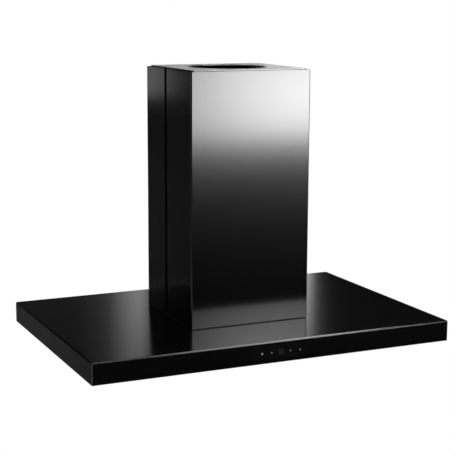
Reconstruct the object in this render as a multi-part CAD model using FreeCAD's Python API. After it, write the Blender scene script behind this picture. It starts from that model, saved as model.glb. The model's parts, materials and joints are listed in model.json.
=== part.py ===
import FreeCAD, Part

import math
import os

# A ceiling-hung island range hood: a flat rectangular canopy under a square telescopic chimney.
# Millimetres. The origin is the centre of the ceiling mount's plane, +Z is up, and the hood's
# controls face -Y. Everything hangs below the origin, drawn with the chimney fully retracted.

# ---- Driving dimensions ----------------------------------------------------------------------

# Whole hood
OVERALL_HEIGHT = 650.0  # ceiling to the canopy's rim, retracted
FACE_GAP = 0.3  # between faces that pass or rest near each other

# Canopy: one folded sheet, open below
CANOPY_WIDTH = 900.0
CANOPY_DEPTH = 600.0
CANOPY_HEIGHT = 50.0
CANOPY_SHEET = 1.2
CANOPY_BEND = 3.4  # outer radius of the folds round the top
CANOPY_CORNER = 1.6  # outer radius of the ground corner welds
RIM_LIP = 16.0  # return flange round the bottom

# Underside pan, which carries the filters, lamps and electronics
PAN_SHEET = 1.0
PAN_SIDE_GAP = 0.6
PAN_GUIDE_HEIGHT = 8.0  # upstand beside each filter
PAN_SCREW_INSET = 8.0
PAN_SCREW_END_INSET = 34.0  # of the corner screws, from the canopy's ends
PAN_SCREW_LENGTH = 9.0
PAN_SCREW_HEAD_RADIUS = 4.0

# Chimney sheets
CHIMNEY_WIDTH = 304.0
CHIMNEY_DEPTH = 276.0
CHIMNEY_SHEET = 1.0
CHIMNEY_BEND = 2.6
CHIMNEY_TOP_GAP = 3.0  # lower chimney's top edge below the ceiling
SEAM_SETBACK = 16.0  # seam between front and rear sheets, behind the centre
GROOVE_WIDTH = 13.0
GROOVE_DEPTH = 5.0
SEAM_LAP = 10.0  # rear sheet's lip behind the front sheet
FOOT_FLANGE = 10.0
NEST_GAP = 7.0  # between the lower and the upper chimney
UPPER_CHIMNEY_GAP = 30.0  # upper chimney's lower end above the canopy, retracted
UPPER_GROOVE_WIDTH = 1.0
UPPER_GROOVE_DEPTH = 2.0
UPPER_LAP = 8.0
VENT_COUNT = 9
VENT_LENGTH = 52.0
VENT_HEIGHT = 4.0
VENT_PITCH = 9.0
VENT_TOP = 42.0  # first vent slot below the ceiling
GASKET_THICKNESS = 2.0
GASKET_WIDTH = 8.0
GASKET_INSET = 2.0

# Telescopic support frame of slotted steel angles
TOWER_GAP = 5.0  # between the upper chimney and the lower angles
ANGLE_LEG = 24.0
ANGLE_SHEET = 2.0
LOWER_ANGLE_GAP = 78.0  # lower angles' tops below the ceiling, retracted
UPPER_ANGLE_GAP = 17.5  # upper angles' ends above the base frame, retracted
SLOT_END = 18.5  # lower end of an upper angle's slot, above the angle's end
ANGLE_FOOT = 32.0
CLAMP_BOLT_TOP = 16.0  # top clamp bolt below the lower angle's end
CLAMP_BOLT_PITCH = 30.0
BASE_BOLT_LOW = 15.0  # lower base bolt above the canopy's top
BASE_BOLT_PITCH = 16.0
BASE_HEIGHT = 40.0
BASE_SHEET = 1.5
BASE_FLANGE = 22.0
BOLT_RADIUS = 3.0
BOLT_HOLE_RADIUS = 3.3
BOLT_LENGTH = 12.0
BOLT_HEAD_RADIUS = 6.0
BOLT_HEAD_HEIGHT = 3.3
NUT_FLATS = 10.0
NUT_HEIGHT = 5.0
NUT_PLAY = 0.2

# Ceiling plate
CEILING_SHEET = 2.5
CEILING_PLATE_GAP = 0.4
DUCT_HOLE_RADIUS = 95.0
ANCHOR_SPACING_X = 236.0
ANCHOR_SPACING_Y = 100.0
ANCHOR_HOLE_RADIUS = 4.5
EAR_WIDTH = 40.0
EAR_HEIGHT = 22.0
EAR_OFFSET = 60.0
EAR_SCREW_DROP = 13.0

# Small screws
SMALL_SCREW_RADIUS = 2.0
SMALL_SCREW_HEAD_RADIUS = 3.8
SMALL_SCREW_HEAD_HEIGHT = 2.6
SMALL_SCREW_LENGTH = 8.0
SMALL_HOLE_RADIUS = 2.2
THREAD_PLAY = 0.05
WELD_NUT_FLATS = 7.0
WELD_NUT_HEIGHT = 3.2
PLATE_SCREW_RADIUS = 2.5
PLATE_SCREW_HEAD_RADIUS = 4.9
PLATE_SCREW_LENGTH = 12.0

# Motor box over the canopy's air opening
BOX_WIDTH = 240.0
BOX_DEPTH = 216.0
BOX_HEIGHT = 250.0
BOX_SHEET = 1.0
BOX_FLANGE = 12.0
BOX_SCREW_PITCH = 70.0

# Scroll: a volute of three quarter arcs, whose radius grows by SCROLL_GROWTH each quarter
SCROLL_WIDTH = 150.0
SCROLL_WALL = 2.0
SCROLL_RADIUS = 84.0
SCROLL_GROWTH = 10.0
SCROLL_BASE_GAP = 8.5  # volute's underside above the box's open bottom
INLET_RADIUS = 60.0
INLET_LIP = 8.0
SCROLL_CHAMFER_DROP = 12.0
BOSS_RADIUS = 5.0
BOSS_HEIGHT = 6.0

# Impeller, motor and their mounting
IMPELLER_RADIUS = 75.0
IMPELLER_WIDTH = 124.0
IMPELLER_SETBACK = 2.0  # impeller's axis behind the first arc's centre
BLADE_COUNT = 36
BLADE_DEPTH = 12.0
BLADE_THICKNESS = 1.2
BLADE_LEAD = 9.0  # degrees that a blade's tip leads its root
END_RING_WIDTH = 9.0
END_RING_THICKNESS = 3.0
HUB_RADIUS = 14.0
HUB_LENGTH = 20.0
DISC_THICKNESS = 2.0
SHAFT_RADIUS = 4.0
HUB_FIT = 0.02
BEARING_FIT = 0.05
MOTOR_RADIUS = 45.0
MOTOR_BELL_RADIUS = 39.0
MOTOR_NOSE_RADIUS = 16.0
MOTOR_BOSS_LENGTH = 8.0
MOTOR_BELL_LENGTH = 8.0
MOTOR_TAPER = 3.0
MOTOR_NOSE_LENGTH = 7.0
MOTOR_HUB_GAP = 4.0
BRACKET_SHEET = 2.0
BRACKET_REACH = 76.0
BRACKET_ARM = 16.0
BRACKET_HUB_RADIUS = 32.0
GROMMET_RADIUS = 6.5
GROMMET_LENGTH = 6.0
GROMMET_CIRCLE = 70.0
CAPACITOR_RADIUS = 15.0
CAPACITOR_LENGTH = 34.0
CAPACITOR_STUD_RADIUS = 4.0
CAPACITOR_STUD_LENGTH = 6.0
CAPACITOR_SETBACK = 60.0
CAPACITOR_HEIGHT = 48.0

# Outlet collar with two non-return flaps on one pin
DUCT_RADIUS = 74.5
COLLAR_WALL = 2.0
COLLAR_HEIGHT = 48.0
COLLAR_FLANGE = 21.5
COLLAR_SCREW_INSET = 5.5  # from the flange's edge
COLLAR_SCREW_ANGLE = 47.0  # degrees from the X axis
FLAP_SEAT_HEIGHT = 18.0
FLAP_SEAT_WIDTH = 3.0
FLAP_THICKNESS = 1.5
FLAP_EDGE_GAP = 1.5
FLAP_PIN_RADIUS = 1.5
FLAP_PIN_PLAY = 0.1
KNUCKLE_RADIUS = 3.0
KNUCKLE_LENGTH = 22.0
KNUCKLE_GAP = 0.6
FLAP_ROOT_GAP = 0.6

# Mains lead's strain relief, in the motor box's top
GLAND_BORE_RADIUS = 4.0
GLAND_BODY_RADIUS = 6.0
GLAND_FLANGE_RADIUS = 9.0
GLAND_HEIGHT = 10.0
GLAND_SNAP_DEPTH = 5.0
GLAND_INSET = 22.0  # from the motor box's left and rear walls

# Grease filters, side by side, hooked at the rear and latched at the front
FILTER_DEPTH = 360.0
FILTER_THICKNESS = 9.5
FILTER_GAP = 2.0
FILTER_BORDER = 12.0
FILTER_SHEET = 1.0
DIVIDER_WIDTH = 16.0
TAB_WIDTH = 24.0
TAB_REACH = 8.0
TAB_THICKNESS = 1.5
TAB_SPACING = 180.0
MESH_COLUMNS = 9
MESH_ROWS = 11
MESH_STRAND = 2.4  # half the strand's width, measured along X or Y
TRAY_WIDTH = 68.0
TRAY_WALL = 4.0
TRAY_ROOF = 2.0
LATCH_WIDTH = 47.2
LATCH_DEPTH = 18.6
LATCH_RIB = 2.6
LATCH_RIB_HEIGHT = 2.2
LATCH_TRAVEL = 5.0
TONGUE_WIDTH = 18.0
TONGUE_THICKNESS = 2.0
SPRING_WIRE_RADIUS = 0.3
SPRING_RADIUS = 1.9
SPRING_TURNS = 6.0
SPRING_LENGTH = 15.1  # room for the spring with the latch at rest
STRIKE_THICKNESS = 0.5
STRIKE_WIDTH = 20.0
STRIKE_FOOT = 14.0
STRIKE_NOTCH = 8.0
STRIKE_END_GAP = 0.5
RIVET_RADIUS = 2.5
RIVET_HEIGHT = 1.0

# Lamps, one each side
LAMP_SIDE_INSET = 68.0  # a lamp is midway between the canopy's lip and a filter
LAMP_FLANGE_RADIUS = 33.0
LAMP_WINDOW_RADIUS = 24.0
LAMP_COLLAR_RADIUS = 27.6
LAMP_COLLAR_WALL = 1.6
LAMP_COLLAR_HEIGHT = 12.0
LAMP_FLANGE_THICKNESS = 1.0
LENS_THICKNESS = 1.6
LAMP_FIN_RADIUS = 31.0
LAMP_FIN_COUNT = 4
LAMP_FIN_PITCH = 4.0
LAMP_FIN_THICKNESS = 1.8
LAMP_CORE_RADIUS = 12.0
CLAW_REACH = 2.4
CLAW_HEIGHT = 4.0
CLAW_WIDTH = 8.0

# Touch controls behind a glass window in the front skirt
GLASS_WIDTH = 150.0
GLASS_HEIGHT = 30.0
GLASS_THICKNESS = 2.0
HOLDER_MARGIN = 8.0
HOLDER_DEPTH = 14.0
HOLDER_LEDGE = 4.0
BOARD_THICKNESS = 1.6
BOARD_STANDOFF = 8.0
PLUG_DEPTH = 4.0
DISPLAY_WIDTH = 14.0
DISPLAY_HEIGHT = 14.0

# Electronics box on the pan, behind the filters
CONTROL_WIDTH = 180.0
CONTROL_DEPTH = 70.0
CONTROL_HEIGHT = 26.0
CONTROL_WALL = 2.0
CONTROL_REAR_GAP = 14.0
LID_THICKNESS = 2.0
LID_RIM = 4.0
STANDOFF_HEIGHT = 5.0
STANDOFF_RADIUS = 3.5
STANDOFF_INSET = 8.0
BOARD_MARGIN = 8.0
TRANSFORMER_WIDTH = 34.0
TRANSFORMER_DEPTH = 30.0
RELAY_COUNT = 3
RELAY_WIDTH = 12.0
RELAY_DEPTH = 20.0
RELAY_HEIGHT = 10.0
RELAY_PITCH = 18.0
TERMINALS_WIDTH = 38.0
TERMINALS_DEPTH = 10.0
SMOOTHER_RADIUS = 5.0  # the board's own round capacitor

# Internal leads
WIRE_RADIUS = 2.5
WIRE_BEND = 10.0  # radius of a lead's bends

# ---- Derived levels and half sizes -----------------------------------------------------------

RIM_Z = -OVERALL_HEIGHT
CANOPY_TOP_Z = RIM_Z + CANOPY_HEIGHT
SHEET_UNDER_Z = CANOPY_TOP_Z - CANOPY_SHEET
PAN_UNDER_Z = RIM_Z + CANOPY_SHEET
PAN_TOP_Z = PAN_UNDER_Z + PAN_SHEET

LOWER_HALF_X = CHIMNEY_WIDTH / 2
LOWER_HALF_Y = CHIMNEY_DEPTH / 2
UPPER_HALF_X = LOWER_HALF_X - CHIMNEY_SHEET - NEST_GAP
UPPER_HALF_Y = LOWER_HALF_Y - CHIMNEY_SHEET - NEST_GAP
LOWER_ANGLE_X = UPPER_HALF_X - CHIMNEY_SHEET - TOWER_GAP
LOWER_ANGLE_Y = UPPER_HALF_Y - CHIMNEY_SHEET - TOWER_GAP
BASE_HALF_X = LOWER_ANGLE_X - ANGLE_SHEET
BASE_HALF_Y = LOWER_ANGLE_Y - ANGLE_SHEET
UPPER_ANGLE_X = BASE_HALF_X - FACE_GAP
UPPER_ANGLE_Y = BASE_HALF_Y - FACE_GAP
ANGLE_BOLT_Y = LOWER_ANGLE_Y - ANGLE_LEG / 2 - ANGLE_SHEET / 2
OPENING_HALF_X = BASE_HALF_X - BASE_FLANGE
OPENING_HALF_Y = BASE_HALF_Y - BASE_FLANGE + ANGLE_SHEET
LOWER_ANGLE_TOP_Z = -LOWER_ANGLE_GAP
CLAMP_BOLTS_Z = (
    LOWER_ANGLE_TOP_Z - CLAMP_BOLT_TOP,
    LOWER_ANGLE_TOP_Z - CLAMP_BOLT_TOP - CLAMP_BOLT_PITCH,
)
BASE_BOLTS_Z = (
    CANOPY_TOP_Z + BASE_BOLT_LOW,
    CANOPY_TOP_Z + BASE_BOLT_LOW + BASE_BOLT_PITCH,
)
CEILING_UNDER_Z = -CEILING_SHEET
UPPER_ANGLE_BOTTOM_Z = CANOPY_TOP_Z + BASE_HEIGHT + UPPER_ANGLE_GAP
HEIGHT_TRAVEL = min(CLAMP_BOLTS_Z) - SLOT_END - UPPER_ANGLE_BOTTOM_Z  # the canopy's way down
CHIMNEY_BOTTOM_Z = CANOPY_TOP_Z + GASKET_THICKNESS
CHIMNEY_SCREW_X = LOWER_HALF_X - CHIMNEY_SHEET - FOOT_FLANGE / 2
CHIMNEY_SCREW_Y = LOWER_ANGLE_Y - ANGLE_LEG - FOOT_FLANGE

BOX_BOTTOM_Z = CANOPY_TOP_Z + BASE_SHEET
BOX_TOP_Z = BOX_BOTTOM_Z + BOX_HEIGHT
DECK_TOP_Z = BOX_TOP_Z - BOX_SHEET
DECK_UNDER_Z = DECK_TOP_Z - SCROLL_WALL
BOX_SCREW_X = (BOX_WIDTH + BOX_FLANGE) / 2
GLAND_X = -(BOX_WIDTH / 2 - GLAND_INSET)
GLAND_Y = BOX_DEPTH / 2 - GLAND_INSET

SCROLL_HALF = SCROLL_WIDTH / 2
VOLUTE_Y = -(SCROLL_RADIUS + 3 * SCROLL_GROWTH + SCROLL_RADIUS) / 2 + SCROLL_RADIUS
VOLUTE_Z = BOX_BOTTOM_Z + SCROLL_BASE_GAP + SCROLL_WALL + SCROLL_RADIUS + SCROLL_GROWTH
AXLE_Y = VOLUTE_Y + IMPELLER_SETBACK
AXLE_Z = VOLUTE_Z
COLLAR_INNER_RADIUS = DUCT_RADIUS - COLLAR_WALL
COLLAR_FLANGE_RADIUS = DUCT_RADIUS + COLLAR_FLANGE
COLLAR_SCREW_RADIUS = COLLAR_FLANGE_RADIUS - COLLAR_SCREW_INSET
COLLAR_SCREW_X = COLLAR_SCREW_RADIUS * math.cos(math.radians(COLLAR_SCREW_ANGLE))
COLLAR_SCREW_Y = COLLAR_SCREW_RADIUS * math.sin(math.radians(COLLAR_SCREW_ANGLE))
PIN_Z = BOX_TOP_Z + FLAP_SEAT_HEIGHT + FLAP_SEAT_WIDTH + FACE_GAP

FILTER_OPENING_X = CANOPY_WIDTH / 2 + RIM_LIP - 2 * LAMP_SIDE_INSET - DIVIDER_WIDTH / 2
FILTER_WIDTH = FILTER_OPENING_X - 2 * FILTER_GAP
FILTER_OPENING_Y = FILTER_DEPTH + 2 * FILTER_GAP
FILTER_CENTRES = {
    "left": -(DIVIDER_WIDTH + FILTER_OPENING_X) / 2,
    "right": (DIVIDER_WIDTH + FILTER_OPENING_X) / 2,
}
FILTER_TOP_Z = PAN_UNDER_Z + FILTER_THICKNESS
TONGUE_UNDER_Z = PAN_TOP_Z + STRIKE_THICKNESS + FACE_GAP
TONGUE_REACH = LATCH_TRAVEL + FILTER_GAP / 2  # drawn back, it clears the opening's edge
TRAY_DEPTH = 2 * TRAY_WALL + FACE_GAP + LATCH_DEPTH + SPRING_LENGTH
LAMP_CENTRES = {
    "left": -(CANOPY_WIDTH / 2 - LAMP_SIDE_INSET),
    "right": CANOPY_WIDTH / 2 - LAMP_SIDE_INSET,
}
TOUCH_Z = RIM_Z + CANOPY_HEIGHT / 2
CORNERS = {
    "front_left": (-1, -1),
    "front_right": (1, -1),
    "rear_left": (-1, 1),
    "rear_right": (1, 1),
}
SIDES = (-1, 1)

V = FreeCAD.Vector
AXIS_X, AXIS_Y, AXIS_Z = V(1, 0, 0), V(0, 1, 0), V(0, 0, 1)


# ---- Shape helpers ---------------------------------------------------------------------------


def block(x, y, z):
    """Box between two values on each axis, given in either order."""
    low = [min(pair) for pair in (x, y, z)]
    size = [abs(pair[1] - pair[0]) for pair in (x, y, z)]
    return Part.makeBox(*size, V(*low))


def slab(half_x, half_y, z):
    """Box centred on the Z axis between two heights."""
    return block((-half_x, half_x), (-half_y, half_y), z)


def rod(radius, start, axis, length):
    """Cylinder from a point along an axis; a negative length runs backwards."""
    direction = axis * (1 if length > 0 else -1)
    return Part.makeCylinder(radius, abs(length), start, direction)


def rounded(shape, radius, axis):
    """Shape with the edges along an axis rounded."""
    edges = [
        e
        for e in shape.Edges
        if e.Curve.TypeId == "Part::GeomLine" and abs(e.tangentAt(e.FirstParameter).dot(axis)) > 0.999
    ]
    return shape.makeFillet(radius, edges)


def hexagon(flats, height, base, axis):
    """Hexagonal prism whose base is centred on a point."""
    side = AXIS_Y if abs(axis.dot(AXIS_Y)) < 0.5 else AXIS_X
    arm = side * (flats / math.sqrt(3))
    corners = [base + FreeCAD.Rotation(axis, 60 * k).multVec(arm) for k in range(6)]
    face = Part.Face(Part.makePolygon(corners + [corners[0]]))
    return face.extrude(axis * height)


def turned(profile, centre, axis):
    """Solid of revolution: profile holds (distance along axis, radius) corners in order."""
    side = AXIS_Y if abs(axis.dot(AXIS_Y)) < 0.5 else AXIS_X
    points = [centre + axis * along + side * radius for along, radius in profile]
    face = Part.Face(Part.makePolygon(points + [points[0]]))
    return face.revolve(centre, axis, 360)


def stadium_through_x(x, y, z_range, radius):
    """Round-ended vertical slot cutter that runs along X."""
    low, high = z_range
    cutter = block(x, (y - radius, y + radius), (low, high))
    for end in (low, high):
        cutter = cutter.fuse(rod(radius, V(x[0], y, end), AXIS_X, x[1] - x[0]))
    return cutter.removeSplitter()


def one_solid(shape):
    """Shape cleaned of seams between flush faces."""
    clean = shape.removeSplitter()
    return clean.Solids[0] if len(clean.Solids) == 1 else clean


def group(shapes):
    """Separate solids kept in one node."""
    return Part.makeCompound(shapes)


# ---- Places that pieces share ------------------------------------------------------------------


def box_screw_places():
    """Centres of the screws that hold the motor box and base frame on the canopy."""
    return [(side * BOX_SCREW_X, k * BOX_SCREW_PITCH) for side in SIDES for k in (-1, 0, 1)]


def chimney_screw_places():
    """Centres of the screws in the lower chimney's foot flange."""
    return [(sx * CHIMNEY_SCREW_X, sy * CHIMNEY_SCREW_Y) for sx, sy in CORNERS.values()]


def collar_screw_places():
    """Centres of the screws that hold the collar, motor box and scroll together."""
    return [(sx * COLLAR_SCREW_X, sy * COLLAR_SCREW_Y) for sx, sy in CORNERS.values()]


def pan_screw_places():
    """Centres of the countersunk screws round the canopy's lip."""
    far_x = CANOPY_WIDTH / 2 - PAN_SCREW_INSET
    far_y = CANOPY_DEPTH / 2 - PAN_SCREW_INSET
    corner_x = CANOPY_WIDTH / 2 - PAN_SCREW_END_INSET
    corners = [(sx * corner_x, sy * far_y) for sx, sy in CORNERS.values()]
    middles = [(0, far_y), (far_x / 2, -far_y), (-far_x / 2, -far_y)]
    ends = [(side * far_x, 0) for side in SIDES]
    return corners + middles + ends


def ear_screw_places():
    """Y values of the screws that hold the upper chimney on the ceiling plate's ears."""
    return (-EAR_OFFSET, EAR_OFFSET)


# ---- Ceiling mount ---------------------------------------------------------------------------


def ceiling_plate():
    """Flat plate with the duct hole and anchor holes, and folded ears for the upper chimney."""
    half_x = UPPER_HALF_X - CHIMNEY_SHEET - CEILING_PLATE_GAP
    half_y = UPPER_HALF_Y - CHIMNEY_SHEET - CEILING_PLATE_GAP
    plate = rounded(slab(half_x, half_y, (CEILING_UNDER_Z, 0)), CHIMNEY_BEND, AXIS_Z)
    for side in SIDES:
        for y in ear_screw_places():
            ear = block(
                (side * half_x, side * (half_x - CEILING_SHEET)),
                (y - EAR_WIDTH / 2, y + EAR_WIDTH / 2),
                (-EAR_HEIGHT, 0),
            )
            plate = plate.fuse(ear)
    cutters = [rod(DUCT_HOLE_RADIUS, V(0, 0, -CEILING_SHEET), AXIS_Z, CEILING_SHEET)]
    for sx, sy in CORNERS.values():
        anchor = V(sx * ANCHOR_SPACING_X / 2, sy * ANCHOR_SPACING_Y / 2, -CEILING_SHEET)
        cutters.append(rod(ANCHOR_HOLE_RADIUS, anchor, AXIS_Z, CEILING_SHEET))
        cutters.append(plate_screw(sx, sy, THREAD_PLAY))
    for side in SIDES:
        for y in ear_screw_places():
            hole = V(side * half_x, y, -EAR_SCREW_DROP)
            radius = SMALL_SCREW_RADIUS + THREAD_PLAY
            cutters.append(rod(radius, hole, AXIS_X, -side * CEILING_SHEET))
    return one_solid(plate.cut(cutters))


def plate_screw(sx, sy, play=0.0):
    """Countersunk screw, flush with the ceiling plate's top; play makes its cutter."""
    x = sx * (UPPER_ANGLE_X - ANGLE_FOOT / 2)
    y = sy * (UPPER_ANGLE_Y - ANGLE_FOOT / 2)
    shank = PLATE_SCREW_RADIUS + play
    head = PLATE_SCREW_HEAD_RADIUS + play
    profile = [
        (0, 0),
        (0, head),
        (-CEILING_SHEET, shank),
        (-PLATE_SCREW_LENGTH, shank),
        (-PLATE_SCREW_LENGTH, 0),
    ]
    return turned(profile, V(x, y, 0), AXIS_Z)


def plate_screws():
    """The four screws that join the upper angles to the ceiling plate."""
    return group([plate_screw(sx, sy) for sx, sy in CORNERS.values()])


def upper_angle(sx, sy):
    """Slotted steel angle with a foot and weld nut under the ceiling plate."""
    leg = ANGLE_LEG - ANGLE_SHEET
    z = (UPPER_ANGLE_BOTTOM_Z, CEILING_UNDER_Z)
    outer_x, outer_y = sx * UPPER_ANGLE_X, sy * UPPER_ANGLE_Y
    inner_x, inner_y = sx * (UPPER_ANGLE_X - ANGLE_SHEET), sy * (UPPER_ANGLE_Y - ANGLE_SHEET)
    body = block((inner_x, outer_x), (outer_y - sy * leg, outer_y), z)
    body = body.fuse(block((outer_x - sx * leg, outer_x), (inner_y, outer_y), z))
    foot_z = (CEILING_UNDER_Z - ANGLE_SHEET, CEILING_UNDER_Z)
    foot = block((outer_x - sx * ANGLE_FOOT, outer_x), (outer_y - sy * ANGLE_FOOT, outer_y), foot_z)
    nut_at = V(sx * (UPPER_ANGLE_X - ANGLE_FOOT / 2), sy * (UPPER_ANGLE_Y - ANGLE_FOOT / 2), foot_z[0])
    nut = hexagon(NUT_FLATS, NUT_HEIGHT, nut_at, AXIS_Z * -1)
    body = body.fuse([foot, nut])
    slot_z = (min(CLAMP_BOLTS_Z) - HEIGHT_TRAVEL, max(CLAMP_BOLTS_Z))
    slot = stadium_through_x((inner_x - sx, outer_x + sx), sy * ANGLE_BOLT_Y, slot_z, BOLT_HOLE_RADIUS)
    return one_solid(body.cut([slot, plate_screw(sx, sy, THREAD_PLAY)]))


# ---- Chimney sheets --------------------------------------------------------------------------


def chimney_half(part, half_x, half_y, z, groove_width, groove_depth, lap, lip_z):
    """One folded half of a chimney: part -1 is the front sheet, 1 the rear sheet with its lips.

    The halves meet at a groove in each side wall. The front sheet's edge folds inwards, and the
    rear sheet's edge folds inwards and then forwards behind it.
    """
    sheet = CHIMNEY_SHEET
    tube = rounded(slab(half_x, half_y, z), CHIMNEY_BEND, AXIS_Z)
    tube = tube.cut(rounded(slab(half_x - sheet, half_y - sheet, z), CHIMNEY_BEND - sheet, AXIS_Z))
    front_edge = SEAM_SETBACK - groove_width / 2
    rear_edge = SEAM_SETBACK + groove_width / 2
    far = half_y + sheet
    if part < 0:
        body = tube.common(block((-half_x, half_x), (-far, front_edge), z))
        fold_y = (front_edge - sheet, front_edge)
        fold_x = (half_x - groove_depth + FACE_GAP, half_x)
    else:
        body = tube.common(block((-half_x, half_x), (rear_edge, far), z))
        fold_y = (rear_edge, rear_edge + sheet)
        fold_x = (half_x - groove_depth - sheet, half_x)
    folds = []
    for side in SIDES:
        folds.append(block((side * fold_x[0], side * fold_x[1]), fold_y, lip_z))
        if part > 0:
            lip_x = (side * (half_x - groove_depth - sheet), side * (half_x - groove_depth))
            folds.append(block(lip_x, (front_edge - sheet - lap, rear_edge + sheet), lip_z))
    return body.fuse(folds)


def foot_flange(part):
    """Inward flange along the bottom of a lower chimney half, clear of the seam."""
    sheet = CHIMNEY_SHEET
    z = (CHIMNEY_BOTTOM_Z, CHIMNEY_BOTTOM_Z + sheet)
    ring = slab(LOWER_HALF_X - sheet / 2, LOWER_HALF_Y - sheet / 2, z)
    inner_x = LOWER_HALF_X - sheet - FOOT_FLANGE
    inner_y = LOWER_HALF_Y - sheet - FOOT_FLANGE
    ring = ring.cut(slab(inner_x, inner_y, z))
    front_end = SEAM_SETBACK - GROOVE_WIDTH / 2 - sheet - SEAM_LAP - sheet
    rear_end = SEAM_SETBACK + GROOVE_WIDTH / 2
    reach = (-LOWER_HALF_Y, front_end) if part < 0 else (rear_end, LOWER_HALF_Y)
    return ring.common(block((-LOWER_HALF_X, LOWER_HALF_X), reach, z))


def lower_chimney(part):
    """Lower chimney half, which stands on the gasket and is screwed through its foot flange."""
    z = (CHIMNEY_BOTTOM_Z, -CHIMNEY_TOP_GAP)
    body = chimney_half(
        part, LOWER_HALF_X, LOWER_HALF_Y, z, GROOVE_WIDTH, GROOVE_DEPTH, SEAM_LAP, z
    )
    body = body.fuse(foot_flange(part))
    holes = [
        rod(SMALL_HOLE_RADIUS, V(x, y, CHIMNEY_BOTTOM_Z), AXIS_Z, CHIMNEY_SHEET)
        for x, y in chimney_screw_places()
        if y * part > 0
    ]
    return one_solid(body.cut(holes))


def upper_chimney(part):
    """Upper chimney half, screwed to the ceiling plate's ears, with vent slots near its top."""
    z = (CANOPY_TOP_Z + UPPER_CHIMNEY_GAP, 0)
    lip_z = (z[0], -EAR_HEIGHT)
    body = chimney_half(
        part, UPPER_HALF_X, UPPER_HALF_Y, z, UPPER_GROOVE_WIDTH, UPPER_GROOVE_DEPTH, UPPER_LAP, lip_z
    )
    wall = CHIMNEY_SHEET * 2
    vent_y = part * EAR_OFFSET + (SEAM_SETBACK / 2 if part > 0 else 0)
    holes = []
    for side in SIDES:
        face = side * (UPPER_HALF_X + FACE_GAP)
        for k in range(VENT_COUNT):
            top = -VENT_TOP - k * VENT_PITCH
            y = (vent_y - VENT_LENGTH / 2, vent_y + VENT_LENGTH / 2)
            holes.append(block((face, face - side * wall), y, (top - VENT_HEIGHT, top)))
        screw_at = V(face, part * EAR_OFFSET, -EAR_SCREW_DROP)
        holes.append(rod(SMALL_HOLE_RADIUS, screw_at, AXIS_X, -side * wall))
    return one_solid(body.cut(holes))


def upper_chimney_screws():
    """Screws that hold the upper chimney on the ceiling plate's ears."""
    screws = []
    for side in SIDES:
        for y in ear_screw_places():
            seat = V(side * UPPER_HALF_X, y, -EAR_SCREW_DROP)
            screws.append(pan_head_screw(seat, AXIS_X * -side, CHIMNEY_SHEET + 2 * CEILING_SHEET))
    return group(screws)


def pan_head_screw(seat, axis, length):
    """Small screw: its head sits on seat and its shank runs along axis."""
    head = rod(SMALL_SCREW_HEAD_RADIUS, seat, axis, -SMALL_SCREW_HEAD_HEIGHT)
    shank = rod(SMALL_SCREW_RADIUS, seat - axis * (SMALL_SCREW_HEAD_HEIGHT / 2), axis,
                length + SMALL_SCREW_HEAD_HEIGHT / 2)
    return one_solid(head.fuse(shank))


def chimney_gasket():
    """Flat ring that the lower chimney stands on, set in from its faces."""
    z = (CANOPY_TOP_Z, CHIMNEY_BOTTOM_Z)
    half_x, half_y = LOWER_HALF_X - GASKET_INSET, LOWER_HALF_Y - GASKET_INSET
    ring = slab(half_x, half_y, z).cut(slab(half_x - GASKET_WIDTH, half_y - GASKET_WIDTH, z))
    holes = [
        rod(SMALL_HOLE_RADIUS, V(x, y, CANOPY_TOP_Z), AXIS_Z, GASKET_THICKNESS)
        for x, y in chimney_screw_places()
    ]
    return one_solid(ring.cut(holes))


# ---- Lower support frame ---------------------------------------------------------------------


def lower_angle(sx, sy):
    """Steel angle bolted to the base frame, with the clamp bolts' holes near its top."""
    z = (CANOPY_TOP_Z, LOWER_ANGLE_TOP_Z)
    outer_x, outer_y = sx * LOWER_ANGLE_X, sy * LOWER_ANGLE_Y
    inner_x, inner_y = sx * BASE_HALF_X, sy * BASE_HALF_Y
    body = block((inner_x, outer_x), (outer_y - sy * ANGLE_LEG, outer_y), z)
    body = body.fuse(block((outer_x - sx * ANGLE_LEG, outer_x), (inner_y, outer_y), z))
    holes = [
        rod(BOLT_HOLE_RADIUS, V(inner_x, sy * ANGLE_BOLT_Y, height), AXIS_X, sx * ANGLE_SHEET)
        for height in BASE_BOLTS_Z + CLAMP_BOLTS_Z
    ]
    return one_solid(body.cut(holes))


def frame_bolt_places():
    """(side, y, z, x of the face that the nut sits on) of every bolt in the support frame."""
    places = []
    for sx, sy in CORNERS.values():
        for z in BASE_BOLTS_Z:
            places.append((sx, sy * ANGLE_BOLT_Y, z, BASE_HALF_X - BASE_SHEET))
        for z in CLAMP_BOLTS_Z:
            places.append((sx, sy * ANGLE_BOLT_Y, z, UPPER_ANGLE_X - ANGLE_SHEET - NUT_PLAY))
    return places


def frame_bolts():
    """Bolts of the support frame, heads outwards."""
    bolts = []
    for side, y, z, _ in frame_bolt_places():
        seat = V(side * LOWER_ANGLE_X, y, z)
        head = rod(BOLT_HEAD_RADIUS, seat, AXIS_X, side * BOLT_HEAD_HEIGHT)
        shank = rod(BOLT_RADIUS, seat + AXIS_X * (side * BOLT_HEAD_HEIGHT / 2), AXIS_X,
                    -side * (BOLT_LENGTH + BOLT_HEAD_HEIGHT / 2))
        bolts.append(one_solid(head.fuse(shank)))
    return group(bolts)


def frame_nuts():
    """Nuts of the support frame, inside it."""
    nuts = []
    for side, y, z, face_x in frame_bolt_places():
        seat = V(side * face_x, y, z)
        nut = hexagon(NUT_FLATS, NUT_HEIGHT, seat, AXIS_X * -side)
        bore = rod(BOLT_RADIUS + THREAD_PLAY, seat, AXIS_X, -side * NUT_HEIGHT)
        nuts.append(nut.cut(bore))
    return group(nuts)


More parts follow.
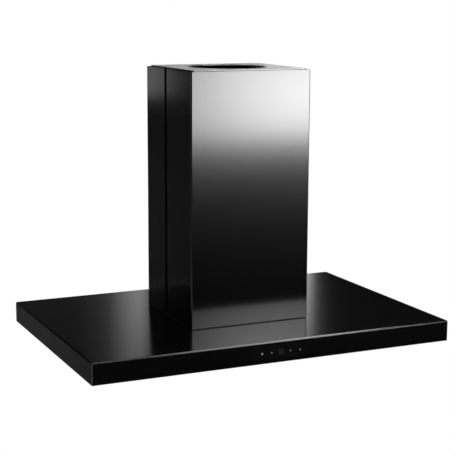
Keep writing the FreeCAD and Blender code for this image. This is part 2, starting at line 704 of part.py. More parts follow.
def base_frame():
    """Rectangular upstand on the canopy, with an inward flange round the air opening."""
    z = (CANOPY_TOP_Z, CANOPY_TOP_Z + BASE_HEIGHT)
    flange_z = (CANOPY_TOP_Z, CANOPY_TOP_Z + BASE_SHEET)
    wall = slab(BASE_HALF_X, BASE_HALF_Y, z)
    wall = wall.cut(slab(BASE_HALF_X - BASE_SHEET, BASE_HALF_Y - BASE_SHEET, z))
    flange = slab(BASE_HALF_X, BASE_HALF_Y, flange_z).cut(slab(OPENING_HALF_X, OPENING_HALF_Y, flange_z))
    holes = []
    for sx, sy in CORNERS.values():
        for height in BASE_BOLTS_Z:
            start = V(sx * BASE_HALF_X, sy * ANGLE_BOLT_Y, height)
            holes.append(rod(BOLT_HOLE_RADIUS, start, AXIS_X, -sx * BASE_SHEET))
    for x, y in box_screw_places():
        holes.append(rod(SMALL_HOLE_RADIUS, V(x, y, CANOPY_TOP_Z), AXIS_Z, BASE_SHEET))
    return one_solid(wall.fuse(flange).cut(holes))


# ---- Canopy and pan --------------------------------------------------------------------------


def canopy_blank(inset, z, bend, corner):
    """Box of the canopy's shape, set in by a sheet, with its top folds and corners rounded."""
    half_x, half_y = CANOPY_WIDTH / 2 - inset, CANOPY_DEPTH / 2 - inset
    body = rounded(slab(half_x, half_y, z), corner, AXIS_Z)
    top = [e for e in body.Edges if e.BoundBox.ZMin > z[1] - FACE_GAP]
    return body.makeFillet(bend, top)


def canopy_shell():
    """Folded canopy: top, four skirts and a lip, with its openings and weld nuts."""
    shell = canopy_blank(0, (RIM_Z, CANOPY_TOP_Z), CANOPY_BEND, CANOPY_CORNER)
    inside = canopy_blank(
        CANOPY_SHEET,
        (PAN_UNDER_Z, SHEET_UNDER_Z),
        CANOPY_BEND - CANOPY_SHEET,
        CANOPY_CORNER - CANOPY_SHEET / 2,
    )
    mouth = slab(CANOPY_WIDTH / 2 - RIM_LIP, CANOPY_DEPTH / 2 - RIM_LIP, (RIM_Z, PAN_UNDER_Z))
    sheet_z = (SHEET_UNDER_Z, CANOPY_TOP_Z)
    air = rounded(slab(OPENING_HALF_X, OPENING_HALF_Y, sheet_z), CANOPY_BEND, AXIS_Z)
    shell = shell.cut([inside, mouth, air])
    nuts, holes = [], [touch_window(GLASS_WIDTH, GLASS_HEIGHT, FACE_GAP, CANOPY_SHEET)]
    for x, y in box_screw_places() + chimney_screw_places():
        seat = V(x, y, SHEET_UNDER_Z)
        nuts.append(hexagon(WELD_NUT_FLATS, WELD_NUT_HEIGHT, seat, AXIS_Z * -1))
        radius = SMALL_SCREW_RADIUS + THREAD_PLAY
        holes.append(rod(radius, V(x, y, CANOPY_TOP_Z), AXIS_Z, -(CANOPY_SHEET + WELD_NUT_HEIGHT)))
    holes += [pan_screw(x, y, THREAD_PLAY) for x, y in pan_screw_places()]
    return one_solid(shell.fuse(nuts).cut(holes))


def touch_window(width, height, gap, depth, start=0.0):
    """Block through the front skirt for the touch glass; start is its front behind the face."""
    front = -CANOPY_DEPTH / 2 + start
    half_x, half_z = width / 2 + gap, height / 2 + gap
    return block((-half_x, half_x), (front, front + depth), (TOUCH_Z - half_z, TOUCH_Z + half_z))


def pan_screw(x, y, play=0.0):
    """Countersunk screw through the lip and pan, flush with the rim; play makes its cutter."""
    head_height = CANOPY_SHEET + PAN_SHEET
    shank = SMALL_SCREW_RADIUS + play
    profile = [
        (0, 0),
        (0, PAN_SCREW_HEAD_RADIUS + play),
        (head_height, shank),
        (PAN_SCREW_LENGTH, shank),
        (PAN_SCREW_LENGTH, 0),
    ]
    return turned(profile, V(x, y, RIM_Z), AXIS_Z)


def pan_screws():
    """Screws that hold the pan on the canopy's lip."""
    return group([pan_screw(x, y) for x, y in pan_screw_places()])


def underside_pan():
    """Flat pan on the canopy's lip, with the filter openings, lamp holes and weld nuts."""
    half_x = CANOPY_WIDTH / 2 - CANOPY_SHEET - PAN_SIDE_GAP
    half_y = CANOPY_DEPTH / 2 - CANOPY_SHEET - PAN_SIDE_GAP
    z = (PAN_UNDER_Z, PAN_TOP_Z)
    pan = slab(half_x, half_y, z)
    extras, holes = [], []
    for centre in FILTER_CENTRES.values():
        left, right = centre - FILTER_OPENING_X / 2, centre + FILTER_OPENING_X / 2
        half_opening = FILTER_OPENING_Y / 2
        holes.append(block((left, right), (-half_opening, half_opening), z))
        notch = STRIKE_WIDTH / 2 + FILTER_GAP
        notch_y = (-half_opening - STRIKE_NOTCH, -half_opening)
        holes.append(block((centre - notch, centre + notch), notch_y, z))
        for edge, outwards in ((left, -PAN_SHEET), (right, PAN_SHEET)):
            guide_z = (PAN_UNDER_Z, PAN_TOP_Z + PAN_GUIDE_HEIGHT)
            extras.append(block((edge, edge + outwards), (-half_opening, half_opening), guide_z))
    for centre in LAMP_CENTRES.values():
        radius = LAMP_COLLAR_RADIUS + FACE_GAP
        holes.append(rod(radius, V(centre, 0, PAN_UNDER_Z), AXIS_Z, PAN_SHEET))
    for x, y in pan_screw_places():
        nut_at = V(x, y, PAN_TOP_Z)
        extras.append(hexagon(WELD_NUT_FLATS, WELD_NUT_HEIGHT, nut_at, AXIS_Z))
        holes.append(pan_screw(x, y, THREAD_PLAY))
    return one_solid(pan.fuse(extras).cut(holes))


# ---- Touch controls and electronics ------------------------------------------------------------


def touch_glass():
    """Glass window, flush with the front skirt."""
    return rounded(touch_window(GLASS_WIDTH, GLASS_HEIGHT, 0, GLASS_THICKNESS), FACE_GAP, AXIS_Y)


def touch_holder():
    """Plastic tray behind the skirt that carries the glass and the touch board."""
    outer_x = GLASS_WIDTH + 2 * HOLDER_MARGIN
    outer_z = GLASS_HEIGHT + HOLDER_MARGIN
    body = touch_window(outer_x, outer_z, 0, HOLDER_DEPTH, CANOPY_SHEET)
    rebate = touch_window(GLASS_WIDTH, GLASS_HEIGHT, FACE_GAP, GLASS_THICKNESS - CANOPY_SHEET, CANOPY_SHEET)
    window_x, window_z = GLASS_WIDTH - 2 * HOLDER_LEDGE, GLASS_HEIGHT - 2 * HOLDER_LEDGE
    window = touch_window(window_x, window_z, 0, HOLDER_DEPTH, CANOPY_SHEET)
    board_front = GLASS_THICKNESS + BOARD_STANDOFF
    pocket = touch_window(GLASS_WIDTH, GLASS_HEIGHT, 0, HOLDER_DEPTH, board_front)
    return one_solid(body.cut([rebate, window, pocket]))


def touch_board():
    """Touch circuit board on the holder's ledge, with its connector."""
    board_front = GLASS_THICKNESS + BOARD_STANDOFF
    board = touch_window(GLASS_WIDTH, GLASS_HEIGHT, -FACE_GAP, BOARD_THICKNESS, board_front)
    plug_start = board_front + BOARD_THICKNESS
    plug = touch_window(DISPLAY_WIDTH, DISPLAY_HEIGHT / 2, 0, PLUG_DEPTH, plug_start)
    return one_solid(board.fuse(plug))


def touch_display():
    """Display block between the touch board and the glass."""
    return touch_window(
        DISPLAY_WIDTH, DISPLAY_HEIGHT, 0, BOARD_STANDOFF - FACE_GAP, GLASS_THICKNESS + FACE_GAP
    )


def control_bounds(inset=0.0):
    """X and Y ranges of the electronics box, or of its inside."""
    rear = CANOPY_DEPTH / 2 - CONTROL_REAR_GAP
    half = CONTROL_WIDTH / 2 - inset
    return (-half, half), (rear - CONTROL_DEPTH + inset, rear - inset)


def control_box_base():
    """Open plastic box on the pan, with standoffs and wire notches."""
    x, y = control_bounds()
    z = (PAN_TOP_Z, PAN_TOP_Z + CONTROL_HEIGHT)
    floor_z = PAN_TOP_Z + CONTROL_WALL
    body = rounded(block(x, y, z), CONTROL_WALL, AXIS_Z)
    inner_x, inner_y = control_bounds(CONTROL_WALL)
    body = body.cut(block(inner_x, inner_y, (floor_z, z[1])))
    posts = [
        rod(STANDOFF_RADIUS, V(px, py, PAN_TOP_Z + CONTROL_WALL / 2), AXIS_Z,
            STANDOFF_HEIGHT + CONTROL_WALL / 2)
        for px, py in standoff_places()
    ]
    notch_z = (floor_z + STANDOFF_HEIGHT, floor_z + 2 * STANDOFF_HEIGHT)
    notches = [
        block((side * CONTROL_WIDTH / 3, side * CONTROL_WIDTH / 4), (y[0], y[0] + CONTROL_WALL), notch_z)
        for side in SIDES
    ]
    return one_solid(body.fuse(posts).cut(notches))


def standoff_places():
    """Centres of the posts under the power board."""
    x, y = control_bounds(CONTROL_WALL + STANDOFF_INSET)
    return [(px, py) for px in x for py in y]


def control_box_lid():
    """Flat lid with a rim that drops inside the box."""
    x, y = control_bounds()
    top = PAN_TOP_Z + CONTROL_HEIGHT
    lid = rounded(block(x, y, (top, top + LID_THICKNESS)), CONTROL_WALL, AXIS_Z)
    rim_x, rim_y = control_bounds(CONTROL_WALL + FACE_GAP)
    hollow_x, hollow_y = control_bounds(2 * CONTROL_WALL)
    rim_z = (top - LID_RIM, top)
    rim = block(rim_x, rim_y, rim_z).cut(block(hollow_x, hollow_y, rim_z))
    return one_solid(lid.fuse(rim))


def power_board():
    """Circuit board on the standoffs, with its transformer, relays and terminals."""
    x, y = control_bounds(CONTROL_WALL + 2 * FACE_GAP)
    low = PAN_TOP_Z + CONTROL_WALL + STANDOFF_HEIGHT
    top = low + BOARD_THICKNESS
    board = block(x, y, (low, top))
    room = CONTROL_HEIGHT - CONTROL_WALL - STANDOFF_HEIGHT - BOARD_THICKNESS - LID_RIM
    middle = (y[0] + y[1]) / 2
    left = x[0] + BOARD_MARGIN
    right = x[1] - BOARD_MARGIN
    half_transformer = TRANSFORMER_DEPTH / 2
    pieces = [
        block((left, left + TRANSFORMER_WIDTH), (middle - half_transformer, middle + half_transformer),
              (top, top + room))
    ]
    for k in range(RELAY_COUNT):
        relay_x = left + TRANSFORMER_WIDTH + BOARD_MARGIN + RELAY_PITCH * k
        pieces.append(block((relay_x, relay_x + RELAY_WIDTH), (middle, middle + RELAY_DEPTH),
                            (top, top + RELAY_HEIGHT)))
    terminals_y = y[0] + BOARD_MARGIN / 2
    pieces.append(block((right - TERMINALS_WIDTH, right), (terminals_y, terminals_y + TERMINALS_DEPTH),
                        (top, top + RELAY_HEIGHT)))
    pieces.append(rod(SMOOTHER_RADIUS, V(right - TERMINALS_WIDTH / 2, middle + SMOOTHER_RADIUS, top),
                      AXIS_Z, room))
    return one_solid(board.fuse(pieces))


# ---- Lamps -----------------------------------------------------------------------------------


def lamp_bezel(centre):
    """Trim ring under the pan, with a collar and three claws above it."""
    inner = LAMP_COLLAR_RADIUS - LAMP_COLLAR_WALL
    low, high = -LAMP_FLANGE_THICKNESS, LAMP_COLLAR_HEIGHT
    profile = [
        (low, LAMP_WINDOW_RADIUS),
        (low, LAMP_FLANGE_RADIUS - LAMP_FLANGE_THICKNESS / 2),
        (low / 2, LAMP_FLANGE_RADIUS),
        (0, LAMP_FLANGE_RADIUS),
        (0, LAMP_COLLAR_RADIUS),
        (high, LAMP_COLLAR_RADIUS),
        (high, inner),
        (0, inner),
        (0, LAMP_WINDOW_RADIUS),
    ]
    origin = V(centre, 0, PAN_UNDER_Z)
    bezel = turned(profile, origin, AXIS_Z)
    claw_low = PAN_SHEET + FACE_GAP
    claws = []
    for k in range(3):
        claw = block(
            (inner + LAMP_COLLAR_WALL / 2, LAMP_COLLAR_RADIUS + CLAW_REACH),
            (-CLAW_WIDTH / 2, CLAW_WIDTH / 2),
            (claw_low, claw_low + CLAW_HEIGHT),
        )
        claw.rotate(V(0, 0, 0), AXIS_Z, 120 * k)
        claw.translate(origin)
        claws.append(claw)
    return one_solid(bezel.fuse(claws))


def lamp_lens(centre):
    """Diffuser disc on the bezel's ledge."""
    radius = LAMP_COLLAR_RADIUS - LAMP_COLLAR_WALL - FACE_GAP
    return rod(radius, V(centre, 0, PAN_UNDER_Z), AXIS_Z, LENS_THICKNESS)


def lamp_body(centre):
    """Lamp body in the bezel's collar, with its cooling fins above."""
    inner = LAMP_COLLAR_RADIUS - LAMP_COLLAR_WALL - FACE_GAP
    low = LENS_THICKNESS + FACE_GAP
    profile = [(low, 0), (low, inner), (LAMP_COLLAR_HEIGHT, inner)]
    for k in range(LAMP_FIN_COUNT):
        fin = LAMP_COLLAR_HEIGHT + k * LAMP_FIN_PITCH
        profile += [(fin, LAMP_FIN_RADIUS), (fin + LAMP_FIN_THICKNESS, LAMP_FIN_RADIUS)]
        if k < LAMP_FIN_COUNT - 1:
            profile += [
                (fin + LAMP_FIN_THICKNESS, LAMP_CORE_RADIUS),
                (fin + LAMP_FIN_PITCH, LAMP_CORE_RADIUS),
            ]
    top = profile[-1][0]
    profile.append((top, 0))
    return turned(profile, V(centre, 0, PAN_UNDER_Z), AXIS_Z)


# ---- Motor box, scroll, impeller and motor -----------------------------------------------------


def motor_box():
    """Sheet box over the air opening, open below, with a flange and the outlet hole."""
    half_x, half_y = BOX_WIDTH / 2, BOX_DEPTH / 2
    body = slab(half_x, half_y, (BOX_BOTTOM_Z, BOX_TOP_Z))
    flange_z = (BOX_BOTTOM_Z, BOX_BOTTOM_Z + BOX_SHEET)
    body = body.fuse(slab(half_x + BOX_FLANGE, half_y + BOX_FLANGE, flange_z))
    hollow = slab(half_x - BOX_SHEET, half_y - BOX_SHEET, (BOX_BOTTOM_Z, DECK_TOP_Z))
    cutters = [hollow, rod(COLLAR_INNER_RADIUS, V(0, 0, DECK_TOP_Z), AXIS_Z, BOX_SHEET)]
    for x, y in box_screw_places():
        cutters.append(rod(SMALL_HOLE_RADIUS, V(x, y, BOX_BOTTOM_Z), AXIS_Z, BOX_SHEET))
    for x, y in collar_screw_places():
        cutters.append(rod(SMALL_HOLE_RADIUS, V(x, y, DECK_TOP_Z), AXIS_Z, BOX_SHEET))
    gland_radius = GLAND_BODY_RADIUS + FACE_GAP
    cutters.append(rod(gland_radius, V(GLAND_X, GLAND_Y, DECK_TOP_Z), AXIS_Z, BOX_SHEET))
    stud = V(half_x, CAPACITOR_SETBACK, BOX_BOTTOM_Z + CAPACITOR_HEIGHT)
    cutters.append(rod(CAPACITOR_STUD_RADIUS + THREAD_PLAY, stud, AXIS_X, -BOX_SHEET))
    return one_solid(body.cut(cutters))


def volute_face(grow, x):
    """Face of the volute's outline in the plane at x; grow thickens it outwards.

    The outline runs from the tongue over three quarter arcs to the right wall, up to the deck
    and back down the sloping throat wall. y is to the rear and z up.
    """
    radii = [SCROLL_RADIUS + k * SCROLL_GROWTH for k in range(3)]
    centres = [
        (VOLUTE_Y, VOLUTE_Z),
        (VOLUTE_Y + SCROLL_GROWTH, VOLUTE_Z),
        (VOLUTE_Y + SCROLL_GROWTH, VOLUTE_Z + SCROLL_GROWTH),
    ]
    edges = []
    for k, ((cy, cz), radius) in enumerate(zip(centres, radii)):
        r = radius + grow
        start = 90 * (k + 1)
        points = [
            V(x, cy + r * math.cos(math.radians(a)), cz + r * math.sin(math.radians(a)))
            for a in (start, start + 45, start + 90)
        ]
        edges.append(Part.Arc(*points).toShape())
        last = points[-1]
    tongue = V(x, VOLUTE_Y, VOLUTE_Z + SCROLL_RADIUS + grow)
    right_y = last.y
    left_y = -COLLAR_INNER_RADIUS - SCROLL_WALL - grow
    slope_z = DECK_UNDER_Z - SCROLL_CHAMFER_DROP
    corners = [
        last,
        V(x, right_y, DECK_TOP_Z if grow else DECK_UNDER_Z),
        V(x, left_y, DECK_TOP_Z if grow else DECK_UNDER_Z),
        V(x, left_y, slope_z - grow / 2),
        tongue,
    ]
    for a, b in zip(corners, corners[1:]):
        edges.append(Part.LineSegment(a, b).toShape())
    return Part.Face(Part.Wire(edges))


def scroll_half(side):
    """Half of the scroll casing, split on the hood's middle plane, with its inlet lip."""
    outer = volute_face(SCROLL_WALL, 0).extrude(AXIS_X * (side * SCROLL_HALF))
    inner = volute_face(0, 0).extrude(AXIS_X * (side * (SCROLL_HALF - SCROLL_WALL)))
    shell = outer.cut(inner)
    wall_x = side * SCROLL_HALF
    lip_start = V(wall_x - side * SCROLL_WALL / 2, AXLE_Y, AXLE_Z)
    lip = rod(INLET_RADIUS + SCROLL_WALL, lip_start, AXIS_X, -side * (INLET_LIP + SCROLL_WALL / 2))
    bosses = []
    holes = [rod(INLET_RADIUS, V(wall_x, AXLE_Y, AXLE_Z), AXIS_X, -side * 2 * INLET_LIP)]
    holes.append(rod(COLLAR_INNER_RADIUS, V(0, 0, DECK_UNDER_Z), AXIS_Z, SCROLL_WALL))
    for x, y in collar_screw_places():
        if x * side > 0:
            bosses.append(rod(BOSS_RADIUS, V(x, y, DECK_TOP_Z), AXIS_Z, -(SCROLL_WALL + BOSS_HEIGHT)))
            radius = SMALL_SCREW_RADIUS + THREAD_PLAY
            holes.append(rod(radius, V(x, y, DECK_TOP_Z), AXIS_Z, -(SCROLL_WALL + BOSS_HEIGHT)))
    return one_solid(shell.fuse([lip] + bosses).cut(holes))


def impeller():
    """Double-inlet wheel: a middle disc with a hub, blades right across, and two end rings."""
    half = IMPELLER_WIDTH / 2
    root = IMPELLER_RADIUS - BLADE_DEPTH
    centre = V(0, AXLE_Y, AXLE_Z)

    def wheel(radius, x0, x1):
        return rod(radius, centre + AXIS_X * x0, AXIS_X, x1 - x0)

    disc = wheel(IMPELLER_RADIUS - BLADE_DEPTH / 2, -DISC_THICKNESS / 2, DISC_THICKNESS / 2)
    pieces = [wheel(HUB_RADIUS, -HUB_LENGTH / 2, HUB_LENGTH / 2)]
    ring_root = IMPELLER_RADIUS - END_RING_WIDTH
    for side in SIDES:
        x0, x1 = side * (half - END_RING_THICKNESS), side * half
        pieces.append(wheel(IMPELLER_RADIUS, x0, x1).cut(wheel(ring_root, x0, x1)))
    lead = math.radians(BLADE_LEAD)
    for k in range(BLADE_COUNT):
        turn = 2 * math.pi * k / BLADE_COUNT
        half_root = BLADE_THICKNESS / 2 / root
        tip = IMPELLER_RADIUS - BLADE_THICKNESS / 4
        half_tip = BLADE_THICKNESS / 2 / tip
        outline = [
            (root, turn - half_root),
            (root, turn + half_root),
            (tip, turn + lead + half_tip),
            (tip, turn + lead - half_tip),
        ]
        points = [
            V(-half + END_RING_THICKNESS / 2, AXLE_Y + r * math.cos(a), AXLE_Z + r * math.sin(a))
            for r, a in outline
        ]
        face = Part.Face(Part.makePolygon(points + [points[0]]))
        pieces.append(face.extrude(AXIS_X * (IMPELLER_WIDTH - END_RING_THICKNESS)))
    body = disc.fuse(pieces)
    return one_solid(body.cut(wheel(SHAFT_RADIUS + HUB_FIT, -HUB_LENGTH, HUB_LENGTH)))


def motor_rear_x():
    """X of the face where the motor sits on its bracket."""
    return -(SCROLL_HALF + GROMMET_LENGTH)


def motor_front_x():
    """X of the motor's nose, clear of the impeller's hub."""
    return -(HUB_LENGTH / 2 + MOTOR_HUB_GAP)


def motor_body():
    """Motor casing: rear boss, end bells, stator band and nose, bored for the shaft."""
    rear, front = motor_rear_x(), motor_front_x()
    bore = SHAFT_RADIUS + BEARING_FIT
    boss = BRACKET_HUB_RADIUS - BRACKET_SHEET
    boss_end = rear + MOTOR_BOSS_LENGTH
    bell_start = boss_end + MOTOR_TAPER
    band_start = bell_start + MOTOR_BELL_LENGTH
    nose_start = front - MOTOR_NOSE_LENGTH
    bell_end = nose_start - MOTOR_TAPER
    band_end = bell_end - MOTOR_BELL_LENGTH
    profile = [
        (rear, 0),
        (rear, boss),
        (boss_end, boss),
        (bell_start, MOTOR_BELL_RADIUS),
        (band_start, MOTOR_BELL_RADIUS),
        (band_start, MOTOR_RADIUS),
        (band_end, MOTOR_RADIUS),
        (band_end, MOTOR_BELL_RADIUS),
        (bell_end, MOTOR_BELL_RADIUS),
        (nose_start, MOTOR_NOSE_RADIUS),
        (front, MOTOR_NOSE_RADIUS),
        (front, bore),
        (boss_end, bore),
        (boss_end, 0),
    ]
    return turned(profile, V(0, AXLE_Y, AXLE_Z), AXIS_X)


def motor_shaft():
    """Shaft from inside the motor through the impeller's hub."""
    start = motor_rear_x() + MOTOR_BOSS_LENGTH + FACE_GAP
    end = HUB_LENGTH / 2 + SCROLL_WALL
    return rod(SHAFT_RADIUS, V(start, AXLE_Y, AXLE_Z), AXIS_X, end - start)


def grommet_places():
    """Centres of the three rubber mounts on the scroll's side wall."""
    return [
        V(-SCROLL_HALF, AXLE_Y + GROMMET_CIRCLE * math.cos(a), AXLE_Z + GROMMET_CIRCLE * math.sin(a))
        for a in (math.radians(90 + 120 * k) for k in range(3))
    ]


def motor_grommets():
    """Rubber mounts between the scroll and the motor bracket."""
    return group([rod(GROMMET_RADIUS, place, AXIS_X, -GROMMET_LENGTH) for place in grommet_places()])


def motor_bracket():
    """Three-armed plate that carries the motor on the rubber mounts."""
    rear = motor_rear_x()
    centre = V(rear, AXLE_Y, AXLE_Z)
    plate = rod(BRACKET_HUB_RADIUS, centre, AXIS_X, -BRACKET_SHEET)
    arms = []
    for k in range(3):
        arm = block(
            (rear - BRACKET_SHEET, rear),
            (AXLE_Y, AXLE_Y + BRACKET_REACH),
            (AXLE_Z - BRACKET_ARM / 2, AXLE_Z + BRACKET_ARM / 2),
        )
        arm.rotate(centre, AXIS_X, 90 + 120 * k)
        arms.append(arm)
    return one_solid(plate.fuse(arms))


def capacitor():
    """Run capacitor held by its stud in the motor box's side wall."""
    inner_x = BOX_WIDTH / 2 - BOX_SHEET
    place = V(inner_x, CAPACITOR_SETBACK, BOX_BOTTOM_Z + CAPACITOR_HEIGHT)
    can = rod(CAPACITOR_RADIUS, place, AXIS_X, -CAPACITOR_LENGTH)
    stud = rod(CAPACITOR_STUD_RADIUS, place - AXIS_X, AXIS_X, CAPACITOR_STUD_LENGTH)
    return one_solid(can.fuse(stud))


def cable_gland():
    """Snap-in strain relief for the mains lead, with a through bore."""
    low = -(BOX_SHEET + GLAND_SNAP_DEPTH)
    under = -(BOX_SHEET + FACE_GAP)
    profile = [
        (low, GLAND_BORE_RADIUS),
        (low, GLAND_BODY_RADIUS - FACE_GAP),
        (under, GLAND_BODY_RADIUS + 2 * FACE_GAP),
        (under, GLAND_BODY_RADIUS),
        (0, GLAND_BODY_RADIUS),
        (0, GLAND_FLANGE_RADIUS),
        (COLLAR_WALL, GLAND_FLANGE_RADIUS),
        (GLAND_HEIGHT, GLAND_BODY_RADIUS),
        (GLAND_HEIGHT, GLAND_BORE_RADIUS),
    ]
    return turned(profile, V(GLAND_X, GLAND_Y, BOX_TOP_Z), AXIS_Z)


# ---- Wiring ------------------------------------------------------------------------------------


def lead(points):
    """Insulated lead along a route of straight runs, each corner rounded by an arc."""
    edges = []
    start = points[0]
    for before, corner, after in zip(points, points[1:], points[2:]):
        back = (before - corner).normalize()
        ahead = (after - corner).normalize()
        half_turn = (math.pi - back.getAngle(ahead)) / 2
        reach = WIRE_BEND * math.tan(half_turn)
        bisector = (back + ahead).normalize()
        middle = corner + bisector * (WIRE_BEND / math.cos(half_turn) - WIRE_BEND)
        arc_start, arc_end = corner + back * reach, corner + ahead * reach
        edges.append(Part.LineSegment(start, arc_start).toShape())
        edges.append(Part.Arc(arc_start, middle, arc_end).toShape())
        start = arc_end
    edges.append(Part.LineSegment(start, points[-1]).toShape())
    section = Part.Wire([Part.makeCircle(WIRE_RADIUS, points[0], points[1] - points[0])])
    return Part.Wire(edges).makePipeShell([section], True, True)


def lamp_lead(side):
    """Lead from a lamp's collar, back along the pan and across to the electronics box."""
    x = side * abs(LAMP_CENTRES["right"])
    y = CANOPY_DEPTH / 2 - CONTROL_REAR_GAP - CONTROL_DEPTH / 3
    z = PAN_TOP_Z + WIRE_RADIUS
    box_side = side * (CONTROL_WIDTH / 2 + FACE_GAP)
    return lead([V(x, LAMP_COLLAR_RADIUS + FACE_GAP, z), V(x, y, z), V(box_side, y, z)])


def touch_lead():
    """Lead from the touch board, round the left filter on the pan, to the electronics box."""
    plug_rear = -CANOPY_DEPTH / 2 + GLASS_THICKNESS + BOARD_STANDOFF + BOARD_THICKNESS + PLUG_DEPTH
    front_y = plug_rear + 3 * WIRE_BEND
    side_x = -(DIVIDER_WIDTH / 2 + FILTER_OPENING_X + PAN_SHEET + WIRE_BEND)
    rear_y = CANOPY_DEPTH / 2 - CONTROL_REAR_GAP - CONTROL_DEPTH * 2 / 3
    z = PAN_TOP_Z + WIRE_RADIUS
    return lead([
        V(0, plug_rear + FACE_GAP, TOUCH_Z),
        V(0, plug_rear + 2 * WIRE_BEND, TOUCH_Z),
        V(-3 * WIRE_BEND, front_y, z),
        V(side_x, front_y, z),
        V(side_x, rear_y, z),
        V(-(CONTROL_WIDTH / 2 + FACE_GAP), rear_y, z),
    ])


def motor_lead():
    """Lead from the motor, down through the air opening and under the canopy's top."""
    x = -(SCROLL_HALF + BOX_WIDTH / 2) / 2 - WIRE_RADIUS
    y = CANOPY_DEPTH / 2 - CONTROL_REAR_GAP - CONTROL_DEPTH / 2
    z = SHEET_UNDER_Z - WIRE_RADIUS
    return lead([
        V(motor_rear_x() - BRACKET_SHEET - FACE_GAP, AXLE_Y, AXLE_Z),
        V(x, AXLE_Y, AXLE_Z),
        V(x, AXLE_Y, z),
        V(x + WIRE_BEND, y, z),
        V(x + WIRE_BEND, y, PAN_TOP_Z + CONTROL_HEIGHT + LID_THICKNESS + FACE_GAP),
    ])


def wiring():
    """The internal leads, each a separate solid."""
    return group([lamp_lead(-1), lamp_lead(1), touch_lead(), motor_lead()])


# ---- Outlet collar and flaps -------------------------------------------------------------------


def outlet_collar():
    """Round duct spigot on the motor box, with the flaps' seat ring inside."""
    top = BOX_TOP_Z + COLLAR_HEIGHT
    seat_top = BOX_TOP_Z + FLAP_SEAT_HEIGHT
    inner = COLLAR_INNER_RADIUS
    profile = [
        (0, inner),
        (0, COLLAR_FLANGE_RADIUS),
        (COLLAR_WALL, COLLAR_FLANGE_RADIUS),
        (COLLAR_WALL, DUCT_RADIUS),
        (top - BOX_TOP_Z, DUCT_RADIUS),
        (top - BOX_TOP_Z, inner),
        (seat_top - BOX_TOP_Z, inner),
        (seat_top - BOX_TOP_Z, inner - FLAP_SEAT_WIDTH),
        (seat_top - BOX_TOP_Z - COLLAR_WALL, inner - FLAP_SEAT_WIDTH),
        (seat_top - BOX_TOP_Z - COLLAR_WALL - FLAP_SEAT_WIDTH, inner),
    ]
    body = turned(profile, V(0, 0, BOX_TOP_Z), AXIS_Z)
    holes = [
        rod(SMALL_HOLE_RADIUS, V(x, y, BOX_TOP_Z), AXIS_Z, COLLAR_WALL)
        for x, y in collar_screw_places()
    ]
    hole_radius = FLAP_PIN_RADIUS + THREAD_PLAY
    reach = DUCT_RADIUS - COLLAR_WALL / 4
    holes.append(rod(hole_radius, V(-reach, 0, PIN_Z), AXIS_X, 2 * reach))
    return one_solid(body.cut(holes))


def flap_pin():
    """Hinge pin across the collar, its ends in the collar's wall."""
    reach = DUCT_RADIUS - COLLAR_WALL / 2
    return rod(FLAP_PIN_RADIUS, V(-reach, 0, PIN_Z), AXIS_X, 2 * reach)


def flap(side):
    """Half-moon flap on one side of the pin, with its two knuckles; side -1 is the front one."""
    low = BOX_TOP_Z + FLAP_SEAT_HEIGHT + FACE_GAP
    z = (low, low + FLAP_THICKNESS)
    root = side * (KNUCKLE_RADIUS + FLAP_ROOT_GAP)
    radius = COLLAR_INNER_RADIUS - FLAP_EDGE_GAP
    plate = rod(radius, V(0, 0, low), AXIS_Z, FLAP_THICKNESS)
    plate = plate.common(block((-radius, radius), (root, side * radius), z))
    pitch = KNUCKLE_LENGTH + KNUCKLE_GAP
    starts = (-2 * pitch, 0) if side < 0 else (-pitch, pitch)
    pieces = []
    for start in starts:
        pieces.append(rod(KNUCKLE_RADIUS, V(start, 0, PIN_Z), AXIS_X, KNUCKLE_LENGTH))
        web_x = (start, start + KNUCKLE_LENGTH)
        pieces.append(block(web_x, (0, root + side * KNUCKLE_RADIUS), z))
    reach = COLLAR_INNER_RADIUS
    bore = rod(FLAP_PIN_RADIUS + FLAP_PIN_PLAY, V(-reach, 0, PIN_Z), AXIS_X, 2 * reach)
    return one_solid(plate.fuse(pieces).cut(bore))


def small_screws():
    """Identical small screws of the lower chimney, motor box and outlet collar."""
    seats = [V(x, y, BOX_BOTTOM_Z + BOX_SHEET) for x, y in box_screw_places()]
    seats += [V(x, y, CHIMNEY_BOTTOM_Z + CHIMNEY_SHEET) for x, y in chimney_screw_places()]
    seats += [V(x, y, BOX_TOP_Z + COLLAR_WALL) for x, y in collar_screw_places()]
    return group([pan_head_screw(seat, AXIS_Z * -1, SMALL_SCREW_LENGTH) for seat in seats])


# ---- Grease filters ----------------------------------------------------------------------------


def latch_ranges(play=0.0):
    """Latch block's X, Y and Z ranges about its filter's centre, or its pocket's with play."""
    front = -FILTER_DEPTH / 2 + TRAY_WALL + FACE_GAP
    x = (-LATCH_WIDTH / 2 - play, LATCH_WIDTH / 2 + play)
    y = (front - play, front + LATCH_DEPTH + play)
    z = (PAN_UNDER_Z + FACE_GAP - play, FILTER_TOP_Z - TRAY_ROOF - FACE_GAP + play)
    return x, y, z


def latch_rib_z():
    """Lower face of the ribs that keep the latch in its pocket."""
    return PAN_UNDER_Z + (FILTER_THICKNESS - TRAY_ROOF - LATCH_RIB_HEIGHT) / 2


